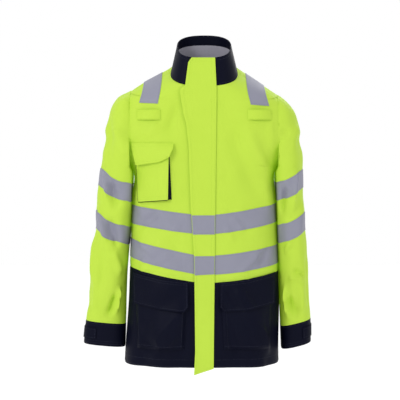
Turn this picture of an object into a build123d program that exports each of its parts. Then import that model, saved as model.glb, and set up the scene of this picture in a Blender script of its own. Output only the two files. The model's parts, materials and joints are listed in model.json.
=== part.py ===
from build123d import *
import math
import os
from collections import namedtuple
from functools import lru_cache

# A high-visibility protective parka, hanging closed by its neck loop.
# Drawn in millimetres: +X to the wearer's left, -Y out of the front, +Z up, heights from the hem.
# Every cloth layer is a shell between two grown copies of one body form or one sleeve form.

# ---- driving dimensions -------------------------------------------------------------------
SHELL = 1.8                    # outer cloth, as a plain wall
LINING_OUT = -3.0              # outer side of the lining, measured from the shell's face
LINING_IN = -3.6
TAPE_IN = 0.2                  # reflective tape lies on the shell
TAPE_OUT = 0.8
TAPE_WIDTH = 50.0              # standard reflective tape
SEAM = 0.2                     # gap left at a sewn seam
SQUARENESS = 2.6               # superellipse power of the body's sections
RIM_POINTS = 16

FRONT_FOOT = -146.0            # where the flat front strip meets the hem height
FRONT_LEAN = 0.0633            # how far that strip leans back for each unit of height
ZIP_GAP = 6.0                  # front panels stop this far from the centre line
SIDE_Y = -5.0                  # side seam
FRONT_SIDE = 230.0             # half width of the cutting prisms
DEEP = 400.0

ARMHOLE = 198.0                # the armhole seam's distance from the centre
ARMHOLE_FOOT = 545.0
ARMPIT = 516.0
SIDE_AT_ARMPIT = 191.5
SIDE_AT_HEM = 210.5            # the sleeves rest against a line leaning out to here
SLEEVE_CLEAR = 0.5             # gap between the body and each sleeve

NAVY_SEAM = 222.0              # navy lower body starts here at the centre front
NAVY_RISE = 24.0               # and this much higher at the side seams
TAPE_HEIGHTS = {"lower": 268.0, "upper": 375.0}
TAPE_RISE = 26.0

NECK = (-12.0, 780.0, 22.0)    # centre depth, centre height and tilt of the neck seam
COLLAR_TOP = (-14.75, 851.0, 23.0)
FACING_DEPTH = 27.0            # navy band inside the collar's top

HANG_LOOP = (60.0, 822.0)      # depth and height of the loop that carries the coat
LOOP_SPAN = 60.0
LOOP_REACH = 22.0

Station = namedtuple("Station", "x height half_width front back tilt rise")


def body_station(height, half_width, front, back, tilt=0.0, rise=0.0):
    return Station(0.0, height, half_width, front, back, tilt, rise)


# Sections of the body, hem to neck; the last one only carries the form past the neck seam.
BODY = (
    body_station(-40, 210, -154.5, 125),
    body_station(0, 208, -152, 125),
    body_station(110, 203, -145, 125),
    body_station(220, 197, -138, 124),
    body_station(350, 191, -130, 122),
    body_station(450, 188, -123.5, 121),
    body_station(516, 189, -119.5, 121),
    body_station(560, 222, -117, 120),
    body_station(605, 258, -114, 119, 0, 0.1),
    body_station(650, 253, -111, 116, 2, 0.4),
    body_station(690, 238, -108.5, 112, 5, 0.9),
    body_station(716, 213, -108, 109, 8, 1.0),
    body_station(738, 178, -108, 103, 13, 1.0),
    body_station(760, 134, -108, 94, 18, 1.0),
    body_station(780, 91, -107.5, 83.5, 22, 1.0),
    body_station(800, 46, -104, 70, 24, 1.0),
)
COLLAR = (
    body_station(752, 98, -107, 92, 21.5),
    body_station(780, 91, -107.5, 83.5, 22),
    body_station(815, 85, -105.5, 76, 22.5),
    body_station(851, 79, -103, 69.5, 23),
    body_station(875, 76, -101.5, 64, 23),
)

# Each sleeve: centre out from the middle, height, half width, half depth and centre depth.
SLEEVES = {
    "right": {"sign": -1, "cuff_tilt": 5.0, "stations": (
        (207, 560, 63, 93, 1), (225, 516, 51, 91, 0), (234, 450, 48, 87, -2),
        (243, 354, 45, 78, -6), (252, 272, 46, 66, -10), (261, 163, 50, 50, -14),
        (266, 109, 54, 44, -16), (270, 50, 56, 40, -18), (272, 20, 56, 39, -18))},
    "left": {"sign": 1, "cuff_tilt": 14.0, "stations": (
        (206, 560, 60, 93, 1), (219, 516, 47, 91, 0), (228, 450, 43, 88, -2),
        (236, 354, 41, 80, -6), (240, 272, 41, 72, -9), (244, 163, 42, 62, -12),
        (247, 109, 42, 58, -14), (249, 50, 41, 55, -16), (250, 20, 41, 54, -16))},
}
CUFF_TOP = 107.0
CUFF_FOOT = 44.0
SLEEVE_TAPES = {"upper": 474.0, "lower": 361.0}
SLEEVE_TAPE_SLOPE = 24.0       # the hoops sit higher on the outside, in degrees
TAB_START = 14.0               # the cuff tab wraps everything further out than this past the wrist's middle

FLAP_IN = 2.6                  # storm flap, measured out of the flat front strip
FLAP_OUT = 4.0
PATCH_HEIGHTS = (90.0, 190.0, 455.0, 570.0, 680.0, 775.0)
PATCH = (15.0, 60.0)
PATCH_INSET = 2.5               # the patches stay this far inside the flap's free edge
ZIP_TOP = 806.0
ZIP_FOOT = 14.0
SLIDER_REST = 796.0

CHEST_DEPTH = 13.0             # how far each pocket stands out of the panel
LOWER_DEPTH = 10.0
CLOTH = 1.4
RADIO_GAP = 9.0


# ---- forms --------------------------------------------------------------------------------
def power(value):
    return math.copysign(abs(value) ** (2 / SQUARENESS), value)


def oval(station, grow):
    """The rim of one section: a superellipse, leaned back by the station's tilt."""
    tilt = math.radians(station.tilt)
    middle = (station.front + station.back) / 2
    half_depth = (station.back - station.front) / 2 / math.cos(tilt) + grow
    points = []
    for step in range(RIM_POINTS):
        angle = 2 * math.pi * (step + 0.5) / RIM_POINTS
        across = (station.half_width + grow) * power(math.cos(angle))
        along = half_depth * power(math.sin(angle))
        height = station.height + station.rise * grow + along * math.sin(tilt)
        points.append((station.x + across, middle + along * math.cos(tilt), height))
    knots = [step / RIM_POINTS for step in range(RIM_POINTS + 1)]
    return Wire([Edge.make_spline([Vector(*p) for p in points], periodic=True, parameters=knots)])


def front_strip(grow):
    """Everything behind the flat strip down the coat's front."""
    return FRONT.location * Pos(0, 400, grow - 400) * Box(1400, 1600, 800)


FRONT = Plane(origin=(0, FRONT_FOOT, 0), x_dir=(1, 0, 0), z_dir=(0, -1, FRONT_LEAN))


@lru_cache(maxsize=None)
def body_form(grow):
    return Solid.make_loft([oval(s, grow) for s in BODY]) & front_strip(grow)


@lru_cache(maxsize=None)
def collar_form(grow):
    return Solid.make_loft([oval(s, grow) for s in COLLAR]) & front_strip(grow)


def shoulder_stations():
    """The sleeve head: the part of the body's shoulder sections that lies past the armhole."""
    head = [Station(ARMHOLE, 729.0, 4.0, -14.0, 18.0, 8.0, 0.3)]
    for section in reversed(BODY):
        if section.half_width > ARMHOLE + 8 and section.height > ARMHOLE_FOOT + 20:
            reach = (1 - (ARMHOLE / section.half_width) ** SQUARENESS) ** (1 / SQUARENESS)
            middle = (section.front + section.back) / 2
            half = (section.back - section.front) / 2 * reach
            head.append(Station(ARMHOLE, section.height, section.half_width - ARMHOLE,
                                middle - half, middle + half, section.tilt, section.rise))
    return head


@lru_cache(maxsize=None)
def sleeve_form(side, grow):
    """The sleeve as one closed tube, drawn on the +X side and mirrored for the right arm."""
    stations = shoulder_stations()
    for x, height, half_width, half_depth, depth in SLEEVES[side]["stations"]:
        stations.append(Station(x, height, half_width, depth - half_depth, depth + half_depth, 0, 0))
    tube = Solid.make_loft([oval(s, grow) for s in stations])
    return mirror(tube, Plane.YZ) if SLEEVES[side]["sign"] < 0 else tube


# ---- cutting prisms -----------------------------------------------------------------------
def prism(edges, near, far):
    """A prism along Y whose outline, seen from the front, is made of the given edges."""
    face = Face(Wire(edges))
    return Solid.extrude(face.moved(Pos(0, near, 0)), Vector(0, far - near, 0))


def outline(*points):
    """Straight edges round a closed outline given in x and height."""
    corners = [Vector(x, 0, z) for x, z in points]
    return [Edge.make_line(a, b) for a, b in zip(corners, corners[1:] + corners[:1])]


def rising(x, height, rise):
    return height + rise * (x / ARMHOLE) ** 2


def band(left, right, low, high, rise, near, far):
    """A band between two heights that climbs from the centre towards the sides."""
    middle = (left + right) / 2
    foot = [Vector(x, 0, rising(x, low, rise)) for x in (left, middle, right)]
    top = [Vector(x, 0, rising(x, high, rise)) for x in (right, middle, left)]
    edges = [Edge.make_three_point_arc(*foot), Edge.make_line(foot[2], top[0]),
             Edge.make_three_point_arc(*top), Edge.make_line(top[2], foot[0])]
    return prism(edges, near, far)


def tilted_slab(centre, low, high):
    """The space between two planes parallel to a tilted seam, above its centre."""
    depth, height, tilt = centre
    plane = Plane(origin=(0, depth, height), x_dir=(1, 0, 0),
                  z_dir=(0, -math.sin(math.radians(tilt)), math.cos(math.radians(tilt))))
    return plane.location * Pos(0, 0, (low + high) / 2) * Box(1200, 1200, high - low)


def side_line(height):
    return SIDE_AT_ARMPIT + (ARMPIT - height) * (SIDE_AT_HEM - SIDE_AT_ARMPIT) / ARMPIT


def body_zone():
    """Where the body may be: above the hem, below the neck seam and inside the armholes."""
    right = [(FRONT_SIDE, 0), (FRONT_SIDE, 300), (side_line(ARMPIT), ARMPIT), (ARMHOLE, ARMHOLE_FOOT),
             (ARMHOLE, 900)]
    left = [(-x, z) for x, z in reversed(right)]
    zone = prism(outline(*right, *left), -DEEP, DEEP)
    return zone & tilted_slab(NECK, -1000, -SEAM / 2)


def sleeve_zone(side, inset, open_top):
    """Where a sleeve may be: outside the armhole, and outside the body below the armpit."""
    shift = SLEEVE_CLEAR + inset
    top = 0 if open_top else ARMHOLE + shift
    points = [(top, 900), (top, ARMHOLE_FOOT), (side_line(ARMPIT) + shift, ARMPIT - 2 * inset),
              (side_line(0) + shift, 0), (side_line(0) + shift, -100), (500, -100), (500, 900)]
    if SLEEVES[side]["sign"] < 0:
        points = [(-x, z) for x, z in points]
    return prism(outline(*points), -DEEP, DEEP)


# ---- layers -------------------------------------------------------------------------------
@lru_cache(maxsize=None)
def body_layer(inner, outer):
    return body_form(outer) - body_form(inner)


@lru_cache(maxsize=None)
def collar_layer(inner, outer):
    return collar_form(outer) - collar_form(inner)


@lru_cache(maxsize=None)
def sleeve_layer(side, inner, outer):
    shell = sleeve_form(side, outer) & sleeve_zone(side, max(-outer, 0), False)
    return shell - (sleeve_form(side, inner) & sleeve_zone(side, max(-inner, 0), True))


def on_front(points, inner, outer):
    """A flat piece on the front strip: an outline in x and height, between two distances out."""
    scale = math.sqrt(1 + FRONT_LEAN ** 2)
    corners = [Vector(x, z * scale, 0) for x, z in points]
    face = Face(Wire.make_polygon(corners))
    slab = Solid.extrude(face.moved(Pos(0, 0, inner)), Vector(0, 0, outer - inner))
    return FRONT.location * slab


def rectangle(x, height, width, tall):
    return [(x - width / 2, height - tall / 2), (x + width / 2, height - tall / 2),
            (x + width / 2, height + tall / 2), (x - width / 2, height + tall / 2)]


# ---- body panels --------------------------------------------------------------------------
def front_panels():
    pieces = {}
    zone = body_zone()
    for side, left, right in (("right", -FRONT_SIDE, -ZIP_GAP), ("left", ZIP_GAP, FRONT_SIDE)):
        cloth = body_layer(-SHELL, 0.0) & zone
        lower = band(left, right, -80, NAVY_SEAM - SEAM / 2, NAVY_RISE, -DEEP, SIDE_Y - SEAM / 2)
        upper = band(left, right, NAVY_SEAM + SEAM / 2, 860, NAVY_RISE, -DEEP, SIDE_Y - SEAM / 2)
        pieces[f"front_panel_{side}_lower"] = cloth & lower
        pieces[f"front_panel_{side}_upper"] = cloth & upper
    return pieces


def back_panels():
    cloth = body_layer(-SHELL, 0.0) & body_zone()
    seam = NAVY_SEAM + NAVY_RISE
    near = SIDE_Y + SEAM / 2
    lower = band(-FRONT_SIDE, FRONT_SIDE, -50, seam - SEAM / 2, 0.001, near, DEEP)
    upper = band(-FRONT_SIDE, FRONT_SIDE, seam + SEAM / 2, 900, 0.001, near, DEEP)
    return {"back_panel_lower": cloth & lower, "back_panel_upper": cloth & upper}


def body_lining():
    """Thin lining inside the panels, open down the front for the zip slider."""
    slit = on_front(rectangle(0, 400, 18, 1400), -60, 60)
    hem = Pos(0, 0, 500 + 14) * Box(1000, 1000, 1000)
    return (body_layer(LINING_IN, LINING_OUT) & body_zone() & hem) - slit


def body_tapes():
    pieces = {}
    zone = body_zone()
    for name, height in TAPE_HEIGHTS.items():
        tape = body_layer(TAPE_IN, TAPE_OUT) & zone
        low, high = height - TAPE_WIDTH / 2, height + TAPE_WIDTH / 2
        for side, left, right in (("right", -FRONT_SIDE, -ZIP_GAP), ("left", ZIP_GAP, FRONT_SIDE)):
            front = band(left, right, low, high, TAPE_RISE, -DEEP, SIDE_Y - SEAM / 2)
            pieces[f"body_tape_{name}_{side}"] = tape & front
        side_height = TAPE_RISE
        back = band(-FRONT_SIDE, FRONT_SIDE, low + side_height, high + side_height, 0.001,
                    SIDE_Y + SEAM / 2, DEEP)
        pieces[f"body_tape_{name}_back"] = tape & back
    return pieces


def shoulder_tapes():
    tape = body_layer(TAPE_IN, TAPE_OUT) & body_zone()
    pieces = {}
    for side, sign in (("right", -1), ("left", 1)):
        strip = Pos(sign * 143, 0, 694 + 100) * Box(TAPE_WIDTH, 600, 200)
        pieces[f"shoulder_tape_{side}"] = tape & strip
    return pieces


def radio_loops():
    """Short straps sewn down at both ends, with a gap behind for a radio's clip."""
    pieces = {}
    whole = body_layer(0.3, RADIO_GAP + CLOTH) & body_zone()
    behind = body_form(RADIO_GAP)
    for side, sign in (("right", -1), ("left", 1)):
        strap = prism(outline(*rectangle(sign * 147, 665, 64, 26)), -DEEP, 0)
        gap = prism(outline(*rectangle(sign * 147, 665, 50, 40)), -DEEP, 0)
        pieces[f"radio_loop_{side}"] = (whole & strap) - (behind & gap)
    return pieces


# ---- collar and neck ----------------------------------------------------------------------
def collar_pieces():
    rise = tilted_slab(NECK, SEAM / 2, 200) & tilted_slab(COLLAR_TOP, -200, 0)
    slit = on_front(rectangle(0, 800, 2 * ZIP_GAP, 400), -60, 60)
    lining_slit = on_front(rectangle(0, 800, 18, 400), -60, 60)
    lining_zone = tilted_slab(NECK, SEAM / 2, 200) & tilted_slab(COLLAR_TOP, -200, -FACING_DEPTH - SEAM)
    facing_zone = tilted_slab(COLLAR_TOP, -FACING_DEPTH, 0)
    inside = collar_layer(LINING_IN, LINING_OUT)
    return {
        "collar_shell": (collar_layer(-SHELL, 0.0) & rise) - slit,
        "collar_facing": (inside & facing_zone) - lining_slit,
        "collar_lining": (inside & lining_zone) - lining_slit,
    }


def arch(radius_shift):
    """The loop's curve in plan, from end to end, moved in or out."""
    depth, height = HANG_LOOP
    half = LOOP_SPAN / 2 + radius_shift
    ends = [Vector(-half, depth + LOOP_REACH, height), Vector(half, depth + LOOP_REACH, height)]
    crown = Vector(0, depth - radius_shift, height)
    return ends[0], crown, ends[1]


def hang_loop():
    """A narrow strap bowed off the back neck; a hook passes down behind it."""
    outer = arch(1.2)
    inner = arch(0.0)
    edges = [Edge.make_three_point_arc(*outer), Edge.make_line(outer[2], inner[2]),
             Edge.make_three_point_arc(*inner[::-1]), Edge.make_line(inner[0], outer[0])]
    face = Face(Wire(edges))
    strap = Solid.extrude(face.moved(Pos(0, 0, -4)), Vector(0, 0, 8))
    return strap - (collar_form(10.0) - collar_form(LINING_IN - 0.2))


def size_label():
    """A blank woven label on the back lining below the loop."""
    label = prism(outline(*rectangle(0, 770, 52, 34)), 0, DEEP)
    return body_layer(LINING_IN - 0.7, LINING_IN - 0.2) & label


# ---- front closure ------------------------------------------------------------------------
def zip_pieces():
    pieces = {}
    tall = ZIP_TOP - ZIP_FOOT
    middle = (ZIP_TOP + ZIP_FOOT) / 2
    for side, sign in (("right", -1), ("left", 1)):
        pieces[f"zip_tape_{side}"] = on_front(rectangle(sign * 12.3, middle, 17.4, tall), -2.6, -2.0)
        pieces[f"zip_chain_{side}"] = on_front(
            rectangle(sign * 2.0, middle + 8, 2.8, tall - 16), -3.2, -1.0)
    box = on_front(rectangle(0, ZIP_FOOT + 6, 7.0, 12), -3.6, -0.4)
    pieces["zip_retainer_box"] = box
    return pieces


def zip_slider():
    """Two plates either side of the chain, joined by a web that runs between its rows."""
    plate = fillet_corners(rectangle(0, SLIDER_REST, 9.6, 14), 3.0)
    front = raised(plate, -0.7, 0.5)
    back = raised(plate, -4.7, -3.5)
    web = on_front(rectangle(0, SLIDER_REST + 3, 0.7, 7), -3.6, -0.6)
    bridge = on_front(rectangle(0, SLIDER_REST + 1.5, 3.0, 8), 0.4, 2.0)
    eye = on_front(rectangle(0, SLIDER_REST + 1, 5.0, 4), 0.5, 1.3)
    return (front + back + web + bridge) - eye


def zip_pull():
    """A flat tab hung from the slider's bridge."""
    length = 36.0
    tab = fillet_corners(rectangle(0, SLIDER_REST - 16, 8.0, length), 3.5)
    grip = raised(tab, 0.6, 1.2)
    hole = on_front(rectangle(0, SLIDER_REST + 1.5, 3.6, 8.6), 0, 3)
    cord_hole = on_front(rectangle(0, SLIDER_REST - 29, 3.0, 3.0), 0, 3)
    return grip - hole - cord_hole


def fillet_corners(points, radius):
    corners = [Vector(x, z * math.sqrt(1 + FRONT_LEAN ** 2), 0) for x, z in points]
    face = Face(Wire.make_polygon(corners))
    return face.fillet_2d(radius, face.vertices())


def raised(face, inner, outer):
    slab = Solid.extrude(face.moved(Pos(0, 0, inner)), Vector(0, 0, outer - inner))
    return FRONT.location * slab


FLAP_OUTLINE = [(25, -2), (33, 733), (32.5, 745), (29, 816), (-28, 816), (-42, 805), (-49.5, 742),
                (-65, 733), (-61, 704), (-54, 665), (-47.5, 642), (-41, 580), (-35.5, 428),
                (-26, 284), (-23.5, 48), (-26, -11)]


def flap_edge(height):
    """The storm flap's free edge, found on its outline."""
    left = FLAP_OUTLINE[5:]
    for (x0, z0), (x1, z1) in zip(left, left[1:]):
        if z1 <= height <= z0:
            return x0 + (x1 - x0) * (height - z0) / (z1 - z0)
    return left[-1][0]


def storm_flap():
    pieces = {"storm_flap": on_front(FLAP_OUTLINE, FLAP_IN, FLAP_OUT)}
    for name, height in TAPE_HEIGHTS.items():
        low, high = height - TAPE_WIDTH / 2, height + TAPE_WIDTH / 2
        corners = [(flap_edge(low) + 1, low), (27, low), (27, high), (flap_edge(high) + 1, high)]
        pieces[f"storm_flap_tape_{name}"] = on_front(corners, FLAP_OUT + TAPE_IN, FLAP_OUT + TAPE_OUT)
    hooks, loops = [], []
    for height in PATCH_HEIGHTS:
        ends = [flap_edge(height + step * PATCH[1] / 2) for step in (-1, 0, 1)]
        x = max(ends) + PATCH[0] / 2 + PATCH_INSET
        hooks.append(on_front(rectangle(x, height, *PATCH), 0.2, 1.1))
        loops.append(on_front(rectangle(x, height, *PATCH), 1.5, 2.4))
    pieces["closure_hook_patches"] = Compound(hooks)
    pieces["closure_loop_patches"] = Compound(loops)
    return pieces


# ---- pockets ------------------------------------------------------------------------------
CHEST_BAG = [(-183, 578), (-175, 434), (-95.5, 441), (-93, 578)]
CHEST_FLAP = [(-196, 590), (-182, 532), (-118, 540), (-90, 553), (-80, 590)]
LOWER_BAG = [(44, 200), (52, 45), (180, 45), (184, 200)]
LOWER_FLAP = [(42, 224), (42, 157), (52, 147), (113, 152), (187, 166), (190, 246), (113, 231)]


def inset(points, sides, below, above):
    """The same four-cornered outline with thinner sides, a raised foot and a higher top."""
    middle = sum(x for x, _ in points) / len(points)
    low = min(z for _, z in points)
    moved = []
    for x, z in points:
        foot = z < low + 40
        moved.append((x + math.copysign(sides, middle - x), z + below if foot else z + above))
    return moved


def chest_pocket():
    """A front wall carried on a folded navy bellows, open along the top under its flap."""
    gap = 0.2
    wall = body_layer(CHEST_DEPTH - CLOTH, CHEST_DEPTH) & prism(outline(*CHEST_BAG), -DEEP, 0)
    block = body_layer(0.3, CHEST_DEPTH - CLOTH - gap) & prism(outline(*CHEST_BAG), -DEEP, 0)
    inner = prism(outline(*inset(CHEST_BAG, 2.0, 2.0, 30.0)), -DEEP, 0)
    flap_zone = prism(outline(*CHEST_FLAP), -DEEP, 0) & body_zone()
    flap = body_layer(CHEST_DEPTH + 0.6, CHEST_DEPTH + 0.6 + CLOTH) & flap_zone
    return {"chest_pocket_front": wall, "chest_pocket_bellows": block - inner, "chest_pocket_flap": flap}


def lower_pockets():
    pieces = {}
    for side, sign in (("right", -1), ("left", 1)):
        bag = [(sign * x, z) for x, z in LOWER_BAG]
        flap = [(sign * x, z) for x, z in LOWER_FLAP]
        block = body_layer(0.3, LOWER_DEPTH) & prism(outline(*bag), -DEEP, 0)
        inner = body_form(LOWER_DEPTH - CLOTH) & prism(outline(*inset(bag, 2.0, 2.0, 30.0)), -DEEP, 0)
        pieces[f"lower_pocket_{side}"] = block - inner
        cover = body_layer(LOWER_DEPTH + 0.6, LOWER_DEPTH + 0.6 + CLOTH)
        pieces[f"lower_pocket_flap_{side}"] = cover & prism(outline(*flap), -DEEP, 0)
    return pieces


# ---- sleeves ------------------------------------------------------------------------------
def sloped_slab(side, x, low, high, degrees):
    """The space between two planes that climb towards the outside of a sleeve, from x outwards."""
    sign = SLEEVES[side]["sign"]
    tall = (high - low) * math.cos(math.radians(degrees))
    foot = Pos(sign * x, 0, low) * Rot(0, -sign * degrees, 0)
    return foot * Pos(0, 0, tall / 2) * Box(900, 600, tall)


def sleeve_pieces(side):
    data = SLEEVES[side]
    wrist = data["stations"][6][0]
    tilt = data["cuff_tilt"]
    above = sloped_slab(side, wrist, CUFF_TOP + SEAM, 1100, tilt)
    cuff = sloped_slab(side, wrist, CUFF_FOOT, CUFF_TOP, tilt)
    lined = sloped_slab(side, wrist, CUFF_FOOT + 8, 1100, tilt)
    shell = sleeve_layer(side, -SHELL, 0.0)
    pieces = {
        f"sleeve_{side}": shell & above,
        f"cuff_{side}": shell & cuff,
        f"sleeve_lining_{side}": sleeve_layer(side, LINING_IN, LINING_OUT) & lined,
    }
    for name, height in SLEEVE_TAPES.items():
        x = next(s[0] for s in data["stations"] if s[1] < height)
        hoop = sloped_slab(side, x, height - TAPE_WIDTH / 2, height + TAPE_WIDTH / 2, SLEEVE_TAPE_SLOPE)
        pieces[f"sleeve_tape_{name}_{side}"] = sleeve_layer(side, TAPE_IN, TAPE_OUT) & hoop
    middle = (CUFF_TOP + CUFF_FOOT) / 2
    outside = Pos(data["sign"] * (wrist + TAB_START + 100), 0, middle)
    patch = sloped_slab(side, wrist, middle - 12, middle + 12, tilt) & outside * Pos(0, -160, 0) * Box(200, 290, 100)
    strap = sloped_slab(side, wrist, middle - 15, middle + 15, tilt) & outside * Box(200, 400, 120)
    pieces[f"cuff_loop_patch_{side}"] = sleeve_layer(side, 0.3, 1.1) & patch
    pieces[f"cuff_tab_{side}"] = sleeve_layer(side, 1.5, 2.9) & strap
    return pieces


# ---- all nodes ----------------------------------------------------------------------------
def all_pieces():
    pieces = {}
    pieces.update(front_panels())
    pieces.update(back_panels())
    pieces["body_lining"] = body_lining()
    pieces.update(collar_pieces())
    pieces["hang_loop"] = hang_loop()
    pieces["size_label"] = size_label()
    pieces.update(body_tapes())
    pieces.update(shoulder_tapes())
    pieces.update(radio_loops())
    pieces.update(zip_pieces())
    pieces["zip_slider"] = zip_slider()
    pieces["zip_pull"] = zip_pull()
    pieces.update(storm_flap())
    pieces.update(chest_pocket())
    pieces.update(lower_pockets())
    for side in SLEEVES:
        pieces.update(sleeve_pieces(side))
    return pieces


def write_parts():
    """One STEP file for each piece, in the frame whose origin is the hang loop."""
    os.makedirs("parts", exist_ok=True)
    depth, height = HANG_LOOP
    to_origin = Pos(0, -depth, -height)
    for name, shape in all_pieces().items():
        solids = [s for s in shape.solids() if s.volume > 1.0]
        placed = [to_origin * s for s in solids]
        node = placed[0] if len(placed) == 1 else Compound(placed)
        print(name, len(placed), round(sum(s.volume for s in placed)))
        export_step(node, f"parts/{name}.step")


if __name__ == "__main__":
    write_parts()
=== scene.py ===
# %% [markdown]
# # A high-visibility work parka, sewn around its frame
# The frame gives the size and the joints of the coat. Every cloth piece is built again here as the
# thin, folded sheet that it really is, and the metal and plastic parts keep their frame shape.

# %% Load the frame
import json
import math
import bpy
import numpy as np
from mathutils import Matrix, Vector


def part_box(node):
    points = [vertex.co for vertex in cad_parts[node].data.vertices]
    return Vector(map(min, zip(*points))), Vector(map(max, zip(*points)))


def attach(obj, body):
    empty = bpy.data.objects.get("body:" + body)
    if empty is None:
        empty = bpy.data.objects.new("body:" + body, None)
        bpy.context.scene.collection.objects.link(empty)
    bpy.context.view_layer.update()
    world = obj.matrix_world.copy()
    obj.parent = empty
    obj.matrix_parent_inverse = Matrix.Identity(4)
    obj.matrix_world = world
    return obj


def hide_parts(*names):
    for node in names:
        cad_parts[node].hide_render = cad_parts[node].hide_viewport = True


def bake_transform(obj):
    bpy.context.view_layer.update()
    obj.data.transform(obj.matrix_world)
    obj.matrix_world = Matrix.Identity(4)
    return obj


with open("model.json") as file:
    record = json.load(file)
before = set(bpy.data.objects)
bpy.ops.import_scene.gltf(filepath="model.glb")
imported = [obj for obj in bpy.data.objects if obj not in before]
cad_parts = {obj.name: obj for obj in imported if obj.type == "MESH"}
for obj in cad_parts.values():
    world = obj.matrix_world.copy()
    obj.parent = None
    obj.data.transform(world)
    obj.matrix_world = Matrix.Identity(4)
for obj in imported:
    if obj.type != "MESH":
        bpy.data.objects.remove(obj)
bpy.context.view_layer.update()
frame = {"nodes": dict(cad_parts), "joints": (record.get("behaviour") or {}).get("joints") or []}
bpy.ops.object.select_all(action="DESELECT")

# %% [markdown]
# ## Units
# A garment maker works in millimetres and measures heights from the hem. All shapes below are drawn
# that way, with x to the wearer's left, y backwards and z up, and one function moves them into the frame.

# %% From pattern millimetres to the frame
MM = 0.001
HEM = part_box("back_panel_lower")[0].z
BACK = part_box("back_panel_lower")[1].y
BACK_AT_HEM = 125.0 * MM
ORIGIN = np.array([0.0, BACK - BACK_AT_HEM, HEM])


def to_frame(points):
    return np.asarray(points, float) * MM + ORIGIN


print("hem height in the frame", round(HEM, 4))

# %% [markdown]
# ## The form under the cloth
# A coat on a form is a soft tube. Its horizontal sections are rounded rectangles whose width and depth
# change with height, and near the neck they tip forward. The form is a short table of such sections,
# joined by smooth curves, so that every layer of cloth can be asked for at any lift off the same form.

# %% Section tables
# height, half width, front depth, back depth, tilt in degrees, share of the lift that points up
BODY = np.array([
    (-40, 212, -154.5, 125, 0, 0), (0, 210.6, -152, 125, 0, 0), (110, 206.3, -145, 125, 0, 0),
    (220, 202.3, -138, 124, 0, 0), (350, 197.6, -130, 122, 0, 0), (450, 194.3, -123.5, 121, 0, 0),
    (516, 192.2, -119.5, 121, 0, 0), (560, 222, -117, 120, 0, 0), (605, 258, -114, 119, 0, 0.1),
    (650, 253, -111, 116, 2, 0.4), (690, 238, -108.5, 112, 5, 0.9), (716, 213, -108, 109, 8, 1),
    (738, 178, -108, 103, 13, 1), (760, 134, -108, 94, 18, 1), (780, 91, -107.5, 83.5, 22, 1),
    (800, 46, -104, 70, 24, 1),
], float)
COLLAR = np.array([
    (752, 98, -107, 92, 21.5, 0), (780, 91, -107.5, 83.5, 22, 0), (815, 82.5, -105.5, 76, 22.5, 0),
    (851, 73.5, -103, 69.5, 23, 0), (875, 70, -101.5, 64, 23, 0),
], float)
# height, distance of the middle from the centre line, half width, half depth, depth of the middle
SLEEVES = {
    "right": np.array([
        (560, 209, 64, 93, 1), (516, 226, 53, 91, 0), (450, 236, 51, 87, -2), (354, 247, 49, 78, -6),
        (272, 256, 50, 66, -10), (163, 262, 51, 50, -14), (109, 266, 54, 44, -16),
        (50, 270, 56, 40, -18), (20, 272, 56, 39, -18),
    ], float)[::-1],
    "left": np.array([
        (560, 206, 60, 93, 1), (516, 219, 47, 91, 0), (450, 226, 42, 88, -2), (354, 233, 40, 80, -6),
        (272, 240, 41, 72, -9), (163, 244, 42, 62, -12), (109, 247, 42, 58, -14),
        (50, 249, 41, 55, -16), (20, 250, 41, 54, -16),
    ], float)[::-1],
}
SIGN = {"right": -1.0, "left": 1.0}
CUFF_TILT = {"right": 5.0, "left": 14.0}
SQUARENESS = 2.6
ARMHOLE = 198.0
ARMPIT = 516.0
HEAD_JOINS = 605.0
FRONT_FOOT = -146.0
FRONT_LEAN = 0.0633
NECK_HEIGHT = 780.0
COLLAR_HEIGHT = 851.0

# %% [markdown]
# The sections between two rows come from cubic curves with shared slopes, which is how a flexible
# batten laid through marks behaves. A section point is found by its turn around the coat: 0 is the
# wearer's left side, a quarter turn is the middle of the back, and minus a quarter is the front.


# %% Smooth sections
def read_table(table, height):
    heights = table[:, 0]
    slopes = np.gradient(table, heights, axis=0)
    height = np.clip(height, heights[0], heights[-1])
    row = np.clip(np.searchsorted(heights, height) - 1, 0, len(heights) - 2)
    span = heights[row + 1] - heights[row]
    t = (height - heights[row]) / span
    values = []
    for column in range(1, table.shape[1]):
        before, after = table[row, column], table[row + 1, column]
        rise_in, rise_out = slopes[row, column] * span, slopes[row + 1, column] * span
        values.append((1 + 2 * t) * (1 - t) ** 2 * before + t * (1 - t) ** 2 * rise_in
                      + t * t * (3 - 2 * t) * after + t * t * (t - 1) * rise_out)
    return values


def rounded(value):
    return np.sign(value) * np.abs(value) ** (2 / SQUARENESS)


def soft_max(a, b, softness=4.0):
    return (a + b + np.sqrt((a - b) ** 2 + softness ** 2)) / 2


def ease(value, start, end):
    t = np.clip((value - start) / (end - start), 0, 1)
    return t * t * (3 - 2 * t)


def section_point(table, height, turn, lift):
    half, front, back, tilt, climb = read_table(table, height)
    tilt = np.radians(tilt)
    along = ((back - front) / 2 / np.cos(tilt) + lift) * rounded(np.sin(turn))
    x = (half + lift) * rounded(np.cos(turn))
    y = (front + back) / 2 + along * np.cos(tilt)
    z = height + climb * lift + along * np.sin(tilt)
    strip = FRONT_FOOT + FRONT_LEAN * z - lift
    return np.stack(np.broadcast_arrays(x, soft_max(y, strip), z), -1)


# %% [markdown]
# ## Folds
# Stiff coated cloth falls in a few long soft folds, with shallow ripples between them. Each long fold is
# a ridge or a valley along a line, and the ripples are a sum of slow waves. They are added to the
# lift, so that tapes, pockets and stitches lie on the same folds as the cloth below them.


# %% Fold helpers
def ripple(a, b, seed, wave, height):
    draw = np.random.default_rng(seed)
    total = 0.0
    for step in range(7):
        angle = draw.uniform(0, math.pi)
        length = wave * draw.uniform(0.7, 1.6)
        shift = draw.uniform(0, 2 * math.pi)
        total = total + np.sin((a * math.cos(angle) + b * math.sin(angle)) * 2 * math.pi / length + shift)
    return total * height / 3.0


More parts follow.
